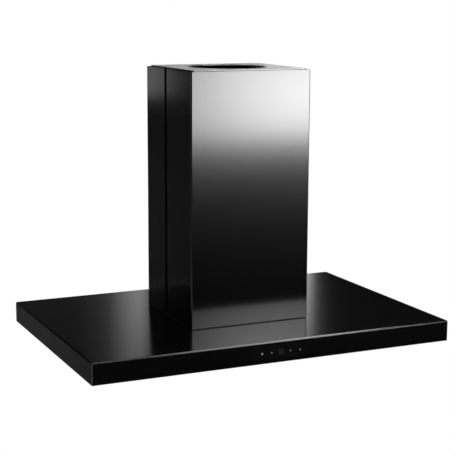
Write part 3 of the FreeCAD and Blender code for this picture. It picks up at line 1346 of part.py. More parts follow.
def filter_frame(centre):
    """Channel frame of one filter, with its latch tray, pocket and rear hooks."""
    half_x, half_y = FILTER_WIDTH / 2, FILTER_DEPTH / 2
    z = (PAN_UNDER_Z, FILTER_TOP_Z)
    sheet = FILTER_SHEET
    body = rounded(slab(half_x, half_y, z), 2 * sheet, AXIS_Z)
    body = body.cut([
        slab(half_x - FILTER_BORDER, half_y - FILTER_BORDER, z),
        slab(half_x - sheet, half_y - sheet, (z[0] + sheet, z[1] - sheet)),
    ])
    tray = block((-TRAY_WIDTH / 2, TRAY_WIDTH / 2), (-half_y, -half_y + TRAY_DEPTH), z)
    hook_z = (PAN_TOP_Z + FACE_GAP, PAN_TOP_Z + FACE_GAP + TAB_THICKNESS)
    hooks = [
        block(
            (side * TAB_SPACING / 2 - TAB_WIDTH / 2, side * TAB_SPACING / 2 + TAB_WIDTH / 2),
            (half_y - sheet, half_y + TAB_REACH),
            hook_z,
        )
        for side in SIDES
    ]
    body = body.fuse([tray] + hooks)
    pocket_x, pocket_y, pocket_z = latch_ranges(FACE_GAP)
    pocket_y = (pocket_y[0], -half_y + TRAY_DEPTH - TRAY_WALL)
    pocket_z = (z[0], pocket_z[1])
    rib_z = latch_rib_z()
    groove_x = (pocket_x[0] - LATCH_RIB, pocket_x[1] + LATCH_RIB)
    groove = block(groove_x, pocket_y, (rib_z - FACE_GAP, rib_z + LATCH_RIB_HEIGHT + FACE_GAP))
    slot_x = (-TONGUE_WIDTH / 2 - FACE_GAP, TONGUE_WIDTH / 2 + FACE_GAP)
    slot_z = (TONGUE_UNDER_Z - FACE_GAP, TONGUE_UNDER_Z + TONGUE_THICKNESS + FACE_GAP)
    slot = block(slot_x, (-half_y, -half_y + TRAY_WALL), slot_z)
    body = one_solid(body.cut([block(pocket_x, pocket_y, pocket_z), groove, slot]))
    body.translate(V(centre, 0, 0))
    return body


def filter_mesh(centre):
    """Mesh pack held in the frame's channel, with staggered rows of diamond gaps."""
    sheet = FILTER_SHEET + FACE_GAP
    half_x, half_y = FILTER_WIDTH / 2 - sheet, FILTER_DEPTH / 2 - sheet
    z = (PAN_UNDER_Z + sheet, FILTER_TOP_Z - sheet)
    pack = slab(half_x, half_y, z)
    tray_x = TRAY_WIDTH / 2 + FACE_GAP
    tray_y = -FILTER_DEPTH / 2 + TRAY_DEPTH + FACE_GAP
    pack = pack.cut(block((-tray_x, tray_x), (-half_y, tray_y), z))
    field_x = FILTER_WIDTH - 2 * FILTER_BORDER
    field_y = FILTER_DEPTH - 2 * FILTER_BORDER
    reach_x = field_x / MESH_COLUMNS / 2
    reach_y = field_y / MESH_ROWS / 2
    gaps = []
    for row in range(1, 2 * MESH_ROWS):
        for column in range(2 - row % 2, 2 * MESH_COLUMNS, 2):
            x = -field_x / 2 + reach_x * column
            y = -field_y / 2 + reach_y * row
            if abs(x) < tray_x + reach_x and y < tray_y + reach_y:
                continue
            corners = [
                V(x - reach_x + MESH_STRAND, y, z[0]),
                V(x, y - reach_y + MESH_STRAND, z[0]),
                V(x + reach_x - MESH_STRAND, y, z[0]),
                V(x, y + reach_y - MESH_STRAND, z[0]),
            ]
            face = Part.Face(Part.makePolygon(corners + [corners[0]]))
            gaps.append(face.extrude(AXIS_Z * (z[1] - z[0])))
    pack = pack.cut(group(gaps))
    pack.translate(V(centre, 0, 0))
    return one_solid(pack)


def filter_latch(centre):
    """Sliding latch with a finger recess, side ribs and the tongue that rests on the strike."""
    x, y, z = latch_ranges()
    body = block(x, y, z)
    rib_z = latch_rib_z()
    rib = block((x[0] - LATCH_RIB, x[1] + LATCH_RIB), y, (rib_z, rib_z + LATCH_RIB_HEIGHT))
    tongue = block(
        (-TONGUE_WIDTH / 2, TONGUE_WIDTH / 2),
        (-FILTER_DEPTH / 2 - TONGUE_REACH, y[0] + FACE_GAP),
        (TONGUE_UNDER_Z, TONGUE_UNDER_Z + TONGUE_THICKNESS),
    )
    recess = block(
        (-LATCH_WIDTH / 3, LATCH_WIDTH / 3),
        (y[0] + TRAY_WALL, y[1] - TRAY_WALL),
        (z[0], z[0] + FILTER_THICKNESS / 2),
    )
    latch = one_solid(body.fuse([rib, tongue]).cut(recess))
    latch.translate(V(centre, 0, 0))
    return latch


def latch_spring(centre):
    """Coil spring between the latch and the pocket's rear wall."""
    _, y, z = latch_ranges()
    start = y[1] + SPRING_WIRE_RADIUS + FACE_GAP
    end = -FILTER_DEPTH / 2 + TRAY_DEPTH - TRAY_WALL - SPRING_WIRE_RADIUS - FACE_GAP
    pitch = (end - start) / SPRING_TURNS
    helix = Part.makeHelix(pitch, end - start, SPRING_RADIUS)
    edge = helix.Edges[0]
    profile = Part.makeCircle(
        SPRING_WIRE_RADIUS, edge.valueAt(edge.FirstParameter), edge.tangentAt(edge.FirstParameter)
    )
    spring = Part.Wire(helix).makePipeShell([Part.Wire([profile])], True, True)
    spring.rotate(V(0, 0, 0), AXIS_X, -90)
    spring.translate(V(centre, start, (z[0] + z[1]) / 2))
    return spring


def filter_strikes():
    """Spring-steel strips riveted on the pan, which the latches' tongues rest on."""
    return group([strike(centre) for centre in FILTER_CENTRES.values()])


def strike(centre):
    """One strip across its notch in the pan, with its two rivets."""
    rear = -FILTER_OPENING_Y / 2 - STRIKE_END_GAP
    front = -FILTER_OPENING_Y / 2 - STRIKE_NOTCH - STRIKE_FOOT
    z = (PAN_TOP_Z, PAN_TOP_Z + STRIKE_THICKNESS)
    strip = block((centre - STRIKE_WIDTH / 2, centre + STRIKE_WIDTH / 2), (front, rear), z)
    rivets = [
        rod(RIVET_RADIUS, V(centre + side * STRIKE_WIDTH / 4, front + STRIKE_FOOT / 2, z[0]), AXIS_Z,
            STRIKE_THICKNESS + RIVET_HEIGHT)
        for side in SIDES
    ]
    return one_solid(strip.fuse(rivets))


# ---- The whole hood ----------------------------------------------------------------------------


def all_parts():
    """Every node's name and shape."""
    parts = {
        "ceiling_plate": ceiling_plate(),
        "plate_screws": plate_screws(),
        "upper_chimney_front": upper_chimney(-1),
        "upper_chimney_rear": upper_chimney(1),
        "upper_chimney_screws": upper_chimney_screws(),
        "frame_bolts": frame_bolts(),
        "frame_nuts": frame_nuts(),
        "base_frame": base_frame(),
        "chimney_gasket": chimney_gasket(),
        "filter_strikes": filter_strikes(),
        "wiring": wiring(),
        "lower_chimney_front": lower_chimney(-1),
        "lower_chimney_rear": lower_chimney(1),
        "small_screws": small_screws(),
        "canopy_shell": canopy_shell(),
        "underside_pan": underside_pan(),
        "pan_screws": pan_screws(),
        "touch_glass": touch_glass(),
        "touch_holder": touch_holder(),
        "touch_board": touch_board(),
        "touch_display": touch_display(),
        "control_box_base": control_box_base(),
        "control_box_lid": control_box_lid(),
        "power_board": power_board(),
        "motor_box": motor_box(),
        "scroll_left": scroll_half(-1),
        "scroll_right": scroll_half(1),
        "impeller": impeller(),
        "motor_body": motor_body(),
        "motor_shaft": motor_shaft(),
        "motor_bracket": motor_bracket(),
        "motor_grommets": motor_grommets(),
        "capacitor": capacitor(),
        "cable_gland": cable_gland(),
        "outlet_collar": outlet_collar(),
        "flap_pin": flap_pin(),
        "flap_front": flap(-1),
        "flap_rear": flap(1),
    }
    for corner, (sx, sy) in CORNERS.items():
        parts["upper_angle_" + corner] = upper_angle(sx, sy)
        parts["lower_angle_" + corner] = lower_angle(sx, sy)
    for hand, centre in LAMP_CENTRES.items():
        parts["lamp_bezel_" + hand] = lamp_bezel(centre)
        parts["lamp_lens_" + hand] = lamp_lens(centre)
        parts["lamp_body_" + hand] = lamp_body(centre)
    for hand, centre in FILTER_CENTRES.items():
        parts["filter_frame_" + hand] = filter_frame(centre)
        parts["filter_mesh_" + hand] = filter_mesh(centre)
        parts["filter_latch_" + hand] = filter_latch(centre)
        parts["latch_spring_" + hand] = latch_spring(centre)
    return parts


def main():
    """Writes one STEP file for each node."""
    os.makedirs("parts", exist_ok=True)
    for name, shape in all_parts().items():
        shape.exportStep(os.path.join("parts", name + ".step"))


main()
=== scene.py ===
import json
import logging
import math
import random
from dataclasses import dataclass, field
from enum import Enum
from typing import Any, Callable, Sequence

import bpy
from mathutils import Matrix, Vector


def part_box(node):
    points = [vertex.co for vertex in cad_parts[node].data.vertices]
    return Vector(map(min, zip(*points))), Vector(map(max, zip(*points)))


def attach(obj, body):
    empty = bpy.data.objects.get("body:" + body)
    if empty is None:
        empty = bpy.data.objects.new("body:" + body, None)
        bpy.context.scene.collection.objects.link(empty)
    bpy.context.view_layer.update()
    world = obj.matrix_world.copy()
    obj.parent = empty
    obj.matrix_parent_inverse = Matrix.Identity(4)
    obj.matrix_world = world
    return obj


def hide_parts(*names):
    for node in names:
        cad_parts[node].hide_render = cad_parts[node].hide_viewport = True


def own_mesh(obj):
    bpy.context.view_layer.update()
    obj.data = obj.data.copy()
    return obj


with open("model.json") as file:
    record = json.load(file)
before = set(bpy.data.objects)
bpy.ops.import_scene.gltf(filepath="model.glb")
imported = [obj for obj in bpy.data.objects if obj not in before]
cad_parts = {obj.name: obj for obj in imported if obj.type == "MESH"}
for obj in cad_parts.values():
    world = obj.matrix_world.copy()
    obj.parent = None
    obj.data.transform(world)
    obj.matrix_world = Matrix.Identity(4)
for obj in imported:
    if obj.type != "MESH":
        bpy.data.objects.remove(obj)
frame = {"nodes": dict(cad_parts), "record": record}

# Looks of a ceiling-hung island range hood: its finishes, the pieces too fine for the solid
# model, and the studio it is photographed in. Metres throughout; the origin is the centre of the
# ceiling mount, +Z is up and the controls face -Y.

LOG = logging.getLogger("hood")
WHITE = (1.0, 1.0, 1.0, 1.0)
# Least share of a face's normal along an axis for the face to look that way.
LOOKS_ALONG = 0.9
# Places nearer than this are the same.
NEAR = 0.000001

Colour = tuple[float, float, float]
Span = tuple[float, float]
Fade = tuple[tuple[float, float], ...]
EVEN: Fade = ((0.0, 1.0), (1.0, 1.0))


# ---- Shader graph ------------------------------------------------------------------------------


class Socket:
    """A shader output that Python's operators work on."""

    def __init__(self, graph: "Graph", out: bpy.types.NodeSocket | None) -> None:
        """Keeps the graph and its node's output, or None for a node that has none."""
        self.graph = graph
        self.out = out

    def _math(self, operation: str, *values: Any) -> "Socket":
        """Adds a Math node on sockets or numbers, in the order of its inputs."""
        return self.graph.node("ShaderNodeMath", {"operation": operation}, dict(enumerate(values)))

    def __add__(self, other: Any) -> "Socket":
        """Sum."""
        return self._math("ADD", self, other)

    def __radd__(self, other: Any) -> "Socket":
        """Sum with a number on the left."""
        return self._math("ADD", other, self)

    def __sub__(self, other: Any) -> "Socket":
        """Difference."""
        return self._math("SUBTRACT", self, other)

    def __rsub__(self, other: Any) -> "Socket":
        """Difference with a number on the left."""
        return self._math("SUBTRACT", other, self)

    def __mul__(self, other: Any) -> "Socket":
        """Product."""
        return self._math("MULTIPLY", self, other)

    def __rmul__(self, other: Any) -> "Socket":
        """Product with a number on the left."""
        return self._math("MULTIPLY", other, self)

    def __truediv__(self, other: Any) -> "Socket":
        """Quotient."""
        return self._math("DIVIDE", self, other)

    def __mod__(self, other: Any) -> "Socket":
        """Remainder, from 0 up to the divisor."""
        return self._math("FLOORED_MODULO", self, other)

    def __abs__(self) -> "Socket":
        """Absolute value."""
        return self._math("ABSOLUTE", self)

    def __gt__(self, other: Any) -> "Socket":
        """1 where this is greater, else 0."""
        return self._math("GREATER_THAN", self, other)

    def __lt__(self, other: Any) -> "Socket":
        """1 where this is less, else 0."""
        return self._math("LESS_THAN", self, other)

    def step(self, low: float, high: float) -> "Socket":
        """Smooth rise from 0 at low to 1 at high.

        Args:
            low: the value that gives 0.
            high: the value that gives 1.

        Returns:
            The smoothed value.
        """
        return self.graph.node(
            "ShaderNodeMapRange",
            {"interpolation_type": "SMOOTHSTEP"},
            {"Value": self, "From Min": low, "From Max": high},
        )


class Graph:
    """The node tree of one material, light or world."""

    def __init__(self, owner: Any) -> None:
        """Starts an empty tree.

        Args:
            owner: a new material's name, or the light or world that the tree is for.
        """
        self.owner = bpy.data.materials.new(owner) if isinstance(owner, str) else owner
        self.owner.use_nodes = True
        self.tree = self.owner.node_tree
        self.tree.nodes.clear()

    def node(
        self,
        kind: str,
        settings: dict[str, Any] | None = None,
        inputs: dict[Any, Any] | None = None,
        output: Any = 0,
    ) -> Socket:
        """Adds a node.

        Args:
            kind: the node's type.
            settings: the node's own settings; "stops" holds a ramp's (place, grey) pairs.
            inputs: values or sockets by input name or index.
            output: name or index of the output wanted.

        Returns:
            That output.
        """
        made = self.tree.nodes.new(kind)
        for key, value in (settings or {}).items():
            if key == "stops":
                self._set_stops(made.color_ramp, value)
            else:
                setattr(made, key, value)
        for key, value in (inputs or {}).items():
            if isinstance(value, Socket):
                self.tree.links.new(value.out, made.inputs[key])
            else:
                made.inputs[key].default_value = value
        return Socket(self, made.outputs[output] if made.outputs else None)

    @staticmethod
    def _set_stops(ramp: bpy.types.ColorRamp, stops: Fade) -> None:
        """Sets a ramp's stops.

        Args:
            ramp: the ramp.
            stops: (place, grey value) pairs in order.
        """
        while len(ramp.elements) < len(stops):
            ramp.elements.new(0.5)
        for element, (place, grey) in zip(ramp.elements, stops):
            element.position = place
            element.color = (grey, grey, grey, 1.0)

    def place(self, scale: Sequence[float] = (1.0, 1.0, 1.0)) -> Socket:
        """Object coordinates, stretched by a factor along each axis."""
        raw = self.node("ShaderNodeTexCoord", output="Object")
        return self.node("ShaderNodeMapping", None, {"Vector": raw, "Scale": tuple(scale)})

    def part(self, vector: Socket, letter: str) -> Socket:
        """The X, Y or Z of a vector."""
        return self.node("ShaderNodeSeparateXYZ", None, {"Vector": vector}, letter)

    def axis(self, letter: str) -> Socket:
        """The X, Y or Z of the Object coordinates, in metres."""
        return self.part(self.node("ShaderNodeTexCoord", output="Object"), letter)

    def facing(self, letter: str) -> Socket:
        """How much a face's normal lies along X, Y or Z, from 0 to 1."""
        return abs(self.part(self.node("ShaderNodeNewGeometry", output="Normal"), letter))

    def noise(
        self, scale: float, stretch: Sequence[float] = (1.0, 1.0, 1.0), detail: float = 2.0
    ) -> Socket:
        """Noise from 0 to 1 on Object coordinates.

        Args:
            scale: features per metre.
            stretch: further factor along each axis.
            detail: octaves.

        Returns:
            The noise.
        """
        return self.node(
            "ShaderNodeTexNoise",
            None,
            {"Vector": self.place(stretch), "Scale": scale, "Detail": detail, "Roughness": 0.55},
        )

    def cells(self, scale: float, feature: str = "F1", output: str = "Distance") -> Socket:
        """Voronoi cells on Object coordinates.

        Args:
            scale: cells per metre.
            feature: the Voronoi feature.
            output: the output wanted.

        Returns:
            That output.
        """
        return self.node(
            "ShaderNodeTexVoronoi",
            {"feature": feature},
            {"Vector": self.place(), "Scale": scale},
            output,
        )

    # A Mix node's sockets share their names among its types, so they are taken by index.
    def mix(self, mask: Socket, first: Colour | Socket, second: Colour | Socket) -> Socket:
        """Mix of two colours; the mask is the second's share, from 0 to 1."""
        inputs = {0: mask, 6: rgba(first), 7: rgba(second)}
        return self.node("ShaderNodeMix", {"data_type": "RGBA"}, inputs, 2)

    def mix_vector(self, mask: Socket, first: Socket, second: Socket) -> Socket:
        """Mix of two vectors; the mask is the second's share, from 0 to 1."""
        inputs = {0: mask, 4: first, 5: second}
        return self.node("ShaderNodeMix", {"data_type": "VECTOR"}, inputs, 1)

    def bump(self, height: Socket, depth: float, strength: float) -> Socket:
        """Normal bent by a height, where 1 stands for the depth in metres."""
        inputs = {"Height": height, "Distance": depth, "Strength": strength}
        return self.node("ShaderNodeBump", None, inputs, "Normal")

    def surface(self, **inputs: Any) -> bpy.types.Material:
        """Ends the tree in one Principled shader.

        Args:
            inputs: the shader's inputs, with _ for the spaces in their names.

        Returns:
            The finished material.
        """
        named = {key.replace("_", " "): value for key, value in inputs.items()}
        shader = self.node("ShaderNodeBsdfPrincipled", None, named)
        self.node("ShaderNodeOutputMaterial", None, {"Surface": shader})
        return self.owner


def rgba(colour: Colour | Socket) -> tuple[float, ...] | Socket:
    """Colour with an alpha of 1, or the socket itself."""
    return colour if isinstance(colour, Socket) else (*colour, 1.0)


def tint(colour: Colour, factor: float, lift: float = 0.0) -> Colour:
    """Colour times a factor, with a grey lift added, and no part over 1."""
    return tuple(min(1.0, part * factor + lift) for part in colour)


# ---- Finishes ----------------------------------------------------------------------------------


@dataclass(frozen=True)
class SatinLacquer:
    """Black satin lacquer over brushed sheet steel."""

    name: str
    colour: Colour = (0.0008, 0.0008, 0.0009)
    roughness: float = 0.14
    cloud: float = 0.015
    lines_across: float = 620.0
    lines_along: float = 5.0

    def material(self) -> bpy.types.Material:
        """Near-black colour, brushing along each face and clouds in the gloss.

        Returns:
            The material.
        """
        g = Graph(self.name)
        across, along = self.lines_across, self.lines_along
        side_face = g.facing("X") > 0.7
        along_x = g.place((along, across, across))
        along_y = g.place((across, along, across))
        route = g.mix_vector(side_face, along_x, along_y)
        lines = g.node("ShaderNodeTexNoise", None, {"Vector": route, "Scale": 1.0, "Detail": 3.0})
        clouds = g.noise(7.0, stretch=(1.0, 1.0, 0.6), detail=3.0)
        peel = g.noise(260.0)
        shade = (lines * 0.5 + clouds * 0.5).step(0.3, 0.75)
        return g.surface(
            Base_Color=g.mix(shade, self.colour, tint(self.colour, 1.6)),
            Roughness=self.roughness + self.cloud * (clouds - 0.5) + 0.02 * (lines - 0.5),
            IOR=1.5,
            Normal=g.bump(lines * 0.6 + peel * 0.4, depth=0.000012, strength=0.35),
        )


@dataclass(frozen=True)
class GalvanisedSheet:
    """Zinc-coated sheet with spangle."""

    name: str
    colour: Colour = (0.5, 0.51, 0.52)
    crystals: float = 170.0

    def material(self) -> bpy.types.Material:
        """Spangle crystals that differ in tone and gloss, under a few dull smears.

        Returns:
            The material.
        """
        g = Graph(self.name)
        random_colour = g.cells(self.crystals, output="Color")
        crystal = g.node("ShaderNodeSeparateColor", None, {0: random_colour})
        rim = g.cells(self.crystals, "DISTANCE_TO_EDGE").step(0.0, 0.06)
        smear = g.noise(14.0, stretch=(1.0, 1.0, 3.0), detail=4.0).step(0.45, 0.75)
        bright = crystal * 0.8 + smear * 0.2
        return g.surface(
            Base_Color=g.mix(bright, tint(self.colour, 0.74), self.colour),
            Metallic=1.0,
            Roughness=0.34 + 0.16 * crystal + 0.12 * smear,
            Normal=g.bump(rim + crystal * 0.4, depth=0.00002, strength=0.5),
        )


@dataclass(frozen=True)
class PlatedSteel:
    """Bright zinc-plated steel for bolts, pins and springs."""

    name: str
    colour: Colour = (0.62, 0.61, 0.57)
    roughness: float = 0.3

    def material(self) -> bpy.types.Material:
        """Faint turning marks and tool smudges.

        Returns:
            The material.
        """
        g = Graph(self.name)
        marks = g.noise(900.0, stretch=(1.0, 1.0, 4.0))
        smudge = g.noise(120.0, detail=4.0)
        return g.surface(
            Base_Color=g.mix(smudge.step(0.4, 0.8), self.colour, tint(self.colour, 0.7)),
            Metallic=1.0,
            Roughness=self.roughness + 0.15 * (smudge - 0.4) + 0.06 * (marks - 0.5),
            Normal=g.bump(marks, depth=0.00001, strength=0.4),
        )


@dataclass(frozen=True)
class RolledAluminium:
    """Bare aluminium with rolling lines."""

    name: str
    colour: Colour = (0.66, 0.67, 0.68)
    roughness: float = 0.33

    def material(self) -> bpy.types.Material:
        """Rolling lines along X, dull patches and small pits.

        Returns:
            The material.
        """
        g = Graph(self.name)
        rolled = g.noise(1.0, stretch=(12.0, 900.0, 900.0), detail=3.0)
        patch = g.noise(22.0, detail=5.0)
        pits = g.cells(1500.0).step(0.0, 0.16)
        return g.surface(
            Base_Color=g.mix(patch.step(0.35, 0.75), self.colour, tint(self.colour, 0.82)),
            Metallic=1.0,
            Roughness=self.roughness + 0.14 * (patch - 0.5) + 0.1 * (rolled - 0.5),
            Normal=g.bump(rolled * 0.7 + pits * 0.3, depth=0.000015, strength=0.5),
        )


@dataclass(frozen=True)
class MouldedPlastic:
    """Injection-moulded plastic with a spark-eroded grain."""

    name: str
    colour: Colour
    roughness: float = 0.48
    grain: float = 1400.0

    def material(self) -> bpy.types.Material:
        """Fine grain, with slow changes of tone where the melt flowed.

        Returns:
            The material.
        """
        g = Graph(self.name)
        grain = g.noise(self.grain, detail=3.0)
        flow = g.noise(18.0, stretch=(1.0, 2.5, 1.0), detail=3.0)
        lighter = tint(self.colour, 1.25, lift=0.004)
        return g.surface(
            Base_Color=g.mix(flow.step(0.35, 0.7), self.colour, lighter),
            Roughness=self.roughness + 0.1 * (grain - 0.5) + 0.08 * (flow - 0.5),
            Normal=g.bump(grain, depth=0.00004, strength=0.5),
        )


@dataclass(frozen=True)
class Rubber:
    """Black moulded rubber with a dusty bloom."""

    name: str
    colour: Colour = (0.016, 0.016, 0.016)
    bloom_colour: Colour = (0.07, 0.07, 0.068)

    def material(self) -> bpy.types.Material:
        """Matt black with pale bloom in patches.

        Returns:
            The material.
        """
        g = Graph(self.name)
        bloom = g.noise(70.0, detail=5.0).step(0.5, 0.8)
        skin = g.noise(2200.0)
        return g.surface(
            Base_Color=g.mix(bloom * 0.5, self.colour, self.bloom_colour),
            Roughness=0.68 + 0.2 * bloom,
            Normal=g.bump(skin, depth=0.00003, strength=0.6),
        )


@dataclass(frozen=True)
class BackPrintedGlass:
    """Clear glass printed black behind."""

    name: str
    colour: Colour = (0.0024, 0.0024, 0.0026)
    wiped_colour: Colour = (0.006, 0.006, 0.0065)

    def material(self) -> bpy.types.Material:
        """Deep black with a polished front and faint wiping marks.

        Returns:
            The material.
        """
        g = Graph(self.name)
        wipe = g.noise(26.0, stretch=(1.0, 1.0, 2.2), detail=4.0)
        haze = g.noise(900.0)
        return g.surface(
            Base_Color=g.mix(wipe.step(0.5, 0.85) * 0.4, self.colour, self.wiped_colour),
            Roughness=0.13 + 0.06 * wipe.step(0.45, 0.8) + 0.02 * haze,
            IOR=1.5,
            Normal=g.bump(haze, depth=0.000003, strength=0.3),
        )


@dataclass(frozen=True)
class SmokedDisplay:
    """Smoked block of a small two-digit display, switched off."""

    name: str
    colour: Colour = (0.0026, 0.0026, 0.0028)
    gap_colour: Colour = (0.0015, 0.0015, 0.0016)
    cells: float = 420.0

    def material(self) -> bpy.types.Material:
        """Near black, with its light cells just visible.

        Returns:
            The material.
        """
        g = Graph(self.name)
        from_middle_x = abs((g.axis("X") * self.cells) % 1.0 - 0.5)
        from_middle_z = abs((g.axis("Z") * self.cells) % 1.0 - 0.5)
        gap = from_middle_x.step(0.36, 0.48) + from_middle_z.step(0.36, 0.48)
        return g.surface(
            Base_Color=g.mix(gap * 0.5, self.colour, self.gap_colour),
            Roughness=0.24 + 0.1 * gap,
        )


@dataclass(frozen=True)
class CircuitBoard:
    """Solder-masked board with copper tracks and pads."""

    name: str
    mask: Colour = (0.012, 0.1, 0.04)
    tinning: Colour = (0.6, 0.58, 0.52)
    grid: float = 400.0
    track_half: float = 0.14
    pad_half: float = 0.22

    def material(self) -> bpy.types.Material:
        """Raised tracks on a grid, tinned pads at some crossings.

        Returns:
            The material.
        """
        g = Graph(self.name)
        across = abs((g.axis("X") * self.grid) % 1.0 - 0.5)
        back = abs((g.axis("Y") * self.grid + g.axis("Z") * self.grid) % 1.0 - 0.5)
        pick = g.noise(160.0)
        track_across = (across < self.track_half) * (pick > 0.5)
        track_back = (back < self.track_half) * (pick < 0.46)
        track = track_across + track_back
        pad = (across < self.pad_half) * (back < self.pad_half) * (g.noise(500.0) > 0.52)
        masked = g.mix(track * 0.7, self.mask, tint(self.mask, 2.4))
        return g.surface(
            Base_Color=g.mix(pad, masked, self.tinning),
            Metallic=pad,
            Roughness=0.38 + 0.1 * track,
            Normal=g.bump(track + pad, depth=0.00004, strength=0.6),
        )


@dataclass(frozen=True)
class FrostedDiffuser:
    """Frosted plastic lens over a ring of small emitters, unlit.

    The two lamps stand at centre_x either side of the middle. A spot fades between the two
    squared radii of spot_fade.
    """

    name: str
    centre_x: float
    colour: Colour = (0.82, 0.82, 0.8)
    spot_colour: Colour = (0.8, 0.66, 0.3)
    emitters: int = 6
    ring_radius: float = 0.014
    spot_fade: tuple[float, float] = (0.000008, 0.000032)

    def material(self) -> bpy.types.Material:
        """Milky white with the emitters as faint warm spots.

        Returns:
            The material.
        """
        g = Graph(self.name)
        x = abs(g.axis("X")) - self.centre_x
        y = g.axis("Y")
        spots = []
        for number in range(self.emitters):
            turn = math.tau * number / self.emitters
            dx = x - self.ring_radius * math.cos(turn)
            dy = y - self.ring_radius * math.sin(turn)
            spots.append(1.0 - (dx * dx + dy * dy).step(*self.spot_fade))
        frost = g.noise(1800.0)
        return g.surface(
            Base_Color=g.mix(sum(spots) * 0.6, self.colour, self.spot_colour),
            Roughness=0.42 + 0.1 * frost,
            Normal=g.bump(frost, depth=0.00003, strength=0.5),
        )


@dataclass(frozen=True)
class PrintedMarkWithPaintedGlow:
    """White screen print on the glass, lit up by a painted glow."""

    name: str
    colour: Colour = (0.27, 0.27, 0.278)

    def material(self) -> bpy.types.Material:
        """Slightly uneven white ink with a faint painted glow.

        Returns:
            The material.
        """
        g = Graph(self.name)
        ink = g.noise(2500.0, detail=3.0)
        colour = g.mix(ink.step(0.4, 0.7), self.colour, tint(self.colour, 0.8))
        return g.surface(
            Base_Color=colour,
            Roughness=0.35 + 0.1 * ink,
            # The emission is a painted glow: the print is no lamp, yet it shines.
            Emission_Color=colour,
            Emission_Strength=0.25,
        )


class Finishes(Enum):
    """Every finish on the hood, by the record's slot, and the white print on the glass with its
    painted glow.
    """

    chimney_paint = SatinLacquer("satin_black_chimney")
    canopy_paint = SatinLacquer("satin_black_canopy", roughness=0.16)
    zinc_steel = GalvanisedSheet("galvanised_sheet")
    fastener_steel = PlatedSteel("zinc_plated_steel")
    black_screws = PlatedSteel("blackened_screws", (0.05, 0.05, 0.052), roughness=0.36)
    seal_rubber = Rubber("seal_rubber")
    touch_window = BackPrintedGlass("back_printed_glass")
    black_plastic = MouldedPlastic("moulded_black_plastic", (0.022, 0.022, 0.024))
    circuit_board = CircuitBoard("circuit_board")
    display_black = SmokedDisplay("smoked_display")
    impeller_plastic = MouldedPlastic("impeller_plastic", (0.09, 0.09, 0.1), roughness=0.42)
    motor_casting = MouldedPlastic("motor_enamel", (0.11, 0.115, 0.12), roughness=0.38, grain=500.0)
    capacitor_white = MouldedPlastic("capacitor_plastic", (0.62, 0.62, 0.59), roughness=0.3)
    lead_insulation = MouldedPlastic("lead_insulation", (0.3, 0.3, 0.29), roughness=0.55)
    lamp_trim = RolledAluminium("lamp_trim", (0.72, 0.72, 0.72), roughness=0.24)
    lamp_diffuser = FrostedDiffuser("frosted_diffuser", centre_x=0.382)
    lamp_casting = RolledAluminium("lamp_casting", (0.42, 0.42, 0.43), roughness=0.45)
    filter_aluminium = RolledAluminium("filter_aluminium")
    white_print = PrintedMarkWithPaintedGlow("white_print")


class Paintshop:
    """Makes each finish once and puts it on nodes and pieces."""

    def __init__(self) -> None:
        """Starts with nothing mixed."""
        self.mixed: dict[Finishes, bpy.types.Material] = {}

    def coat(self, finish: Finishes) -> bpy.types.Material:
        """The finish's material, made at its first use.

        Args:
            finish: the finish wanted.

        Returns:
            Its material.
        """
        if finish not in self.mixed:
            self.mixed[finish] = finish.value.material()
        return self.mixed[finish]

    def dress_nodes(self) -> None:
        """Gives every CAD node the finish of its slot in the record."""
        for part in frame["record"]["subparts"]:
            node = frame["nodes"][part["node"]]
            material = self.coat(Finishes[part["material_slot"]])
            for slot in node.material_slots:
                slot.material = material


# ---- Modelling helpers -------------------------------------------------------------------------


class Bench:
    """Modelling moves shared by the sub-assemblies."""

    @staticmethod
    def clear() -> None:
        """Leaves edit mode and deselects everything."""
        if bpy.context.object and bpy.context.object.mode != "OBJECT":
            bpy.ops.object.mode_set(mode="OBJECT")
        bpy.ops.object.select_all(action="DESELECT")

    @staticmethod
    def pick(piece: bpy.types.Object) -> None:
        """Selects one piece alone.

        Args:
            piece: the piece.
        """
        Bench.clear()
        piece.select_set(True)
        bpy.context.view_layer.objects.active = piece

    @staticmethod
    def choose(piece: bpy.types.Object, faces: Callable[[bpy.types.MeshPolygon], bool]) -> None:
        """Enters edit mode with the faces that pass a test selected.

        Args:
            piece: the piece.
            faces: test of one face.
        """
        Bench.pick(piece)
        bpy.ops.object.mode_set(mode="EDIT")
        bpy.ops.mesh.select_all(action="DESELECT")
        bpy.ops.mesh.select_mode(type="FACE")
        bpy.ops.object.mode_set(mode="OBJECT")
        for face in piece.data.polygons:
            face.select = faces(face)
        bpy.ops.object.mode_set(mode="EDIT")

    @staticmethod
    def modify(piece: bpy.types.Object, kind: str, **settings: Any) -> None:
        """Adds a modifier to a piece and applies it.

        Args:
            piece: the piece, which is left selected alone.
            kind: the modifier's type.
            settings: the modifier's own settings.
        """
        Bench.pick(piece)
        modifier = piece.modifiers.new(kind.lower(), kind)
        for key, value in settings.items():
            setattr(modifier, key, value)
        bpy.ops.object.modifier_apply(modifier=modifier.name)

    @staticmethod
    def settle(piece: bpy.types.Object, name: str, smooth_angle: float = 35.0) -> None:
        """Names a piece, applies its place and shades it smooth under an angle.

        Args:
            piece: the piece.
            name: its name.
            smooth_angle: edges under this many degrees are shaded smooth.
        """
        Bench.pick(piece)
        bpy.ops.object.transform_apply(location=True, rotation=True, scale=True)
        bpy.ops.object.shade_smooth_by_angle(angle=math.radians(smooth_angle))
        piece.name = name
        piece.data.name = name

    @staticmethod
    def join(pieces: Sequence[bpy.types.Object]) -> bpy.types.Object:
        """Joins pieces into the first.

        Args:
            pieces: the pieces.

        Returns:
            The joined piece.
        """
        Bench.clear()
        for piece in pieces:
            piece.select_set(True)
        bpy.context.view_layer.objects.active = pieces[0]
        bpy.ops.object.join()
        return bpy.context.object


# ---- Touch strip -------------------------------------------------------------------------------


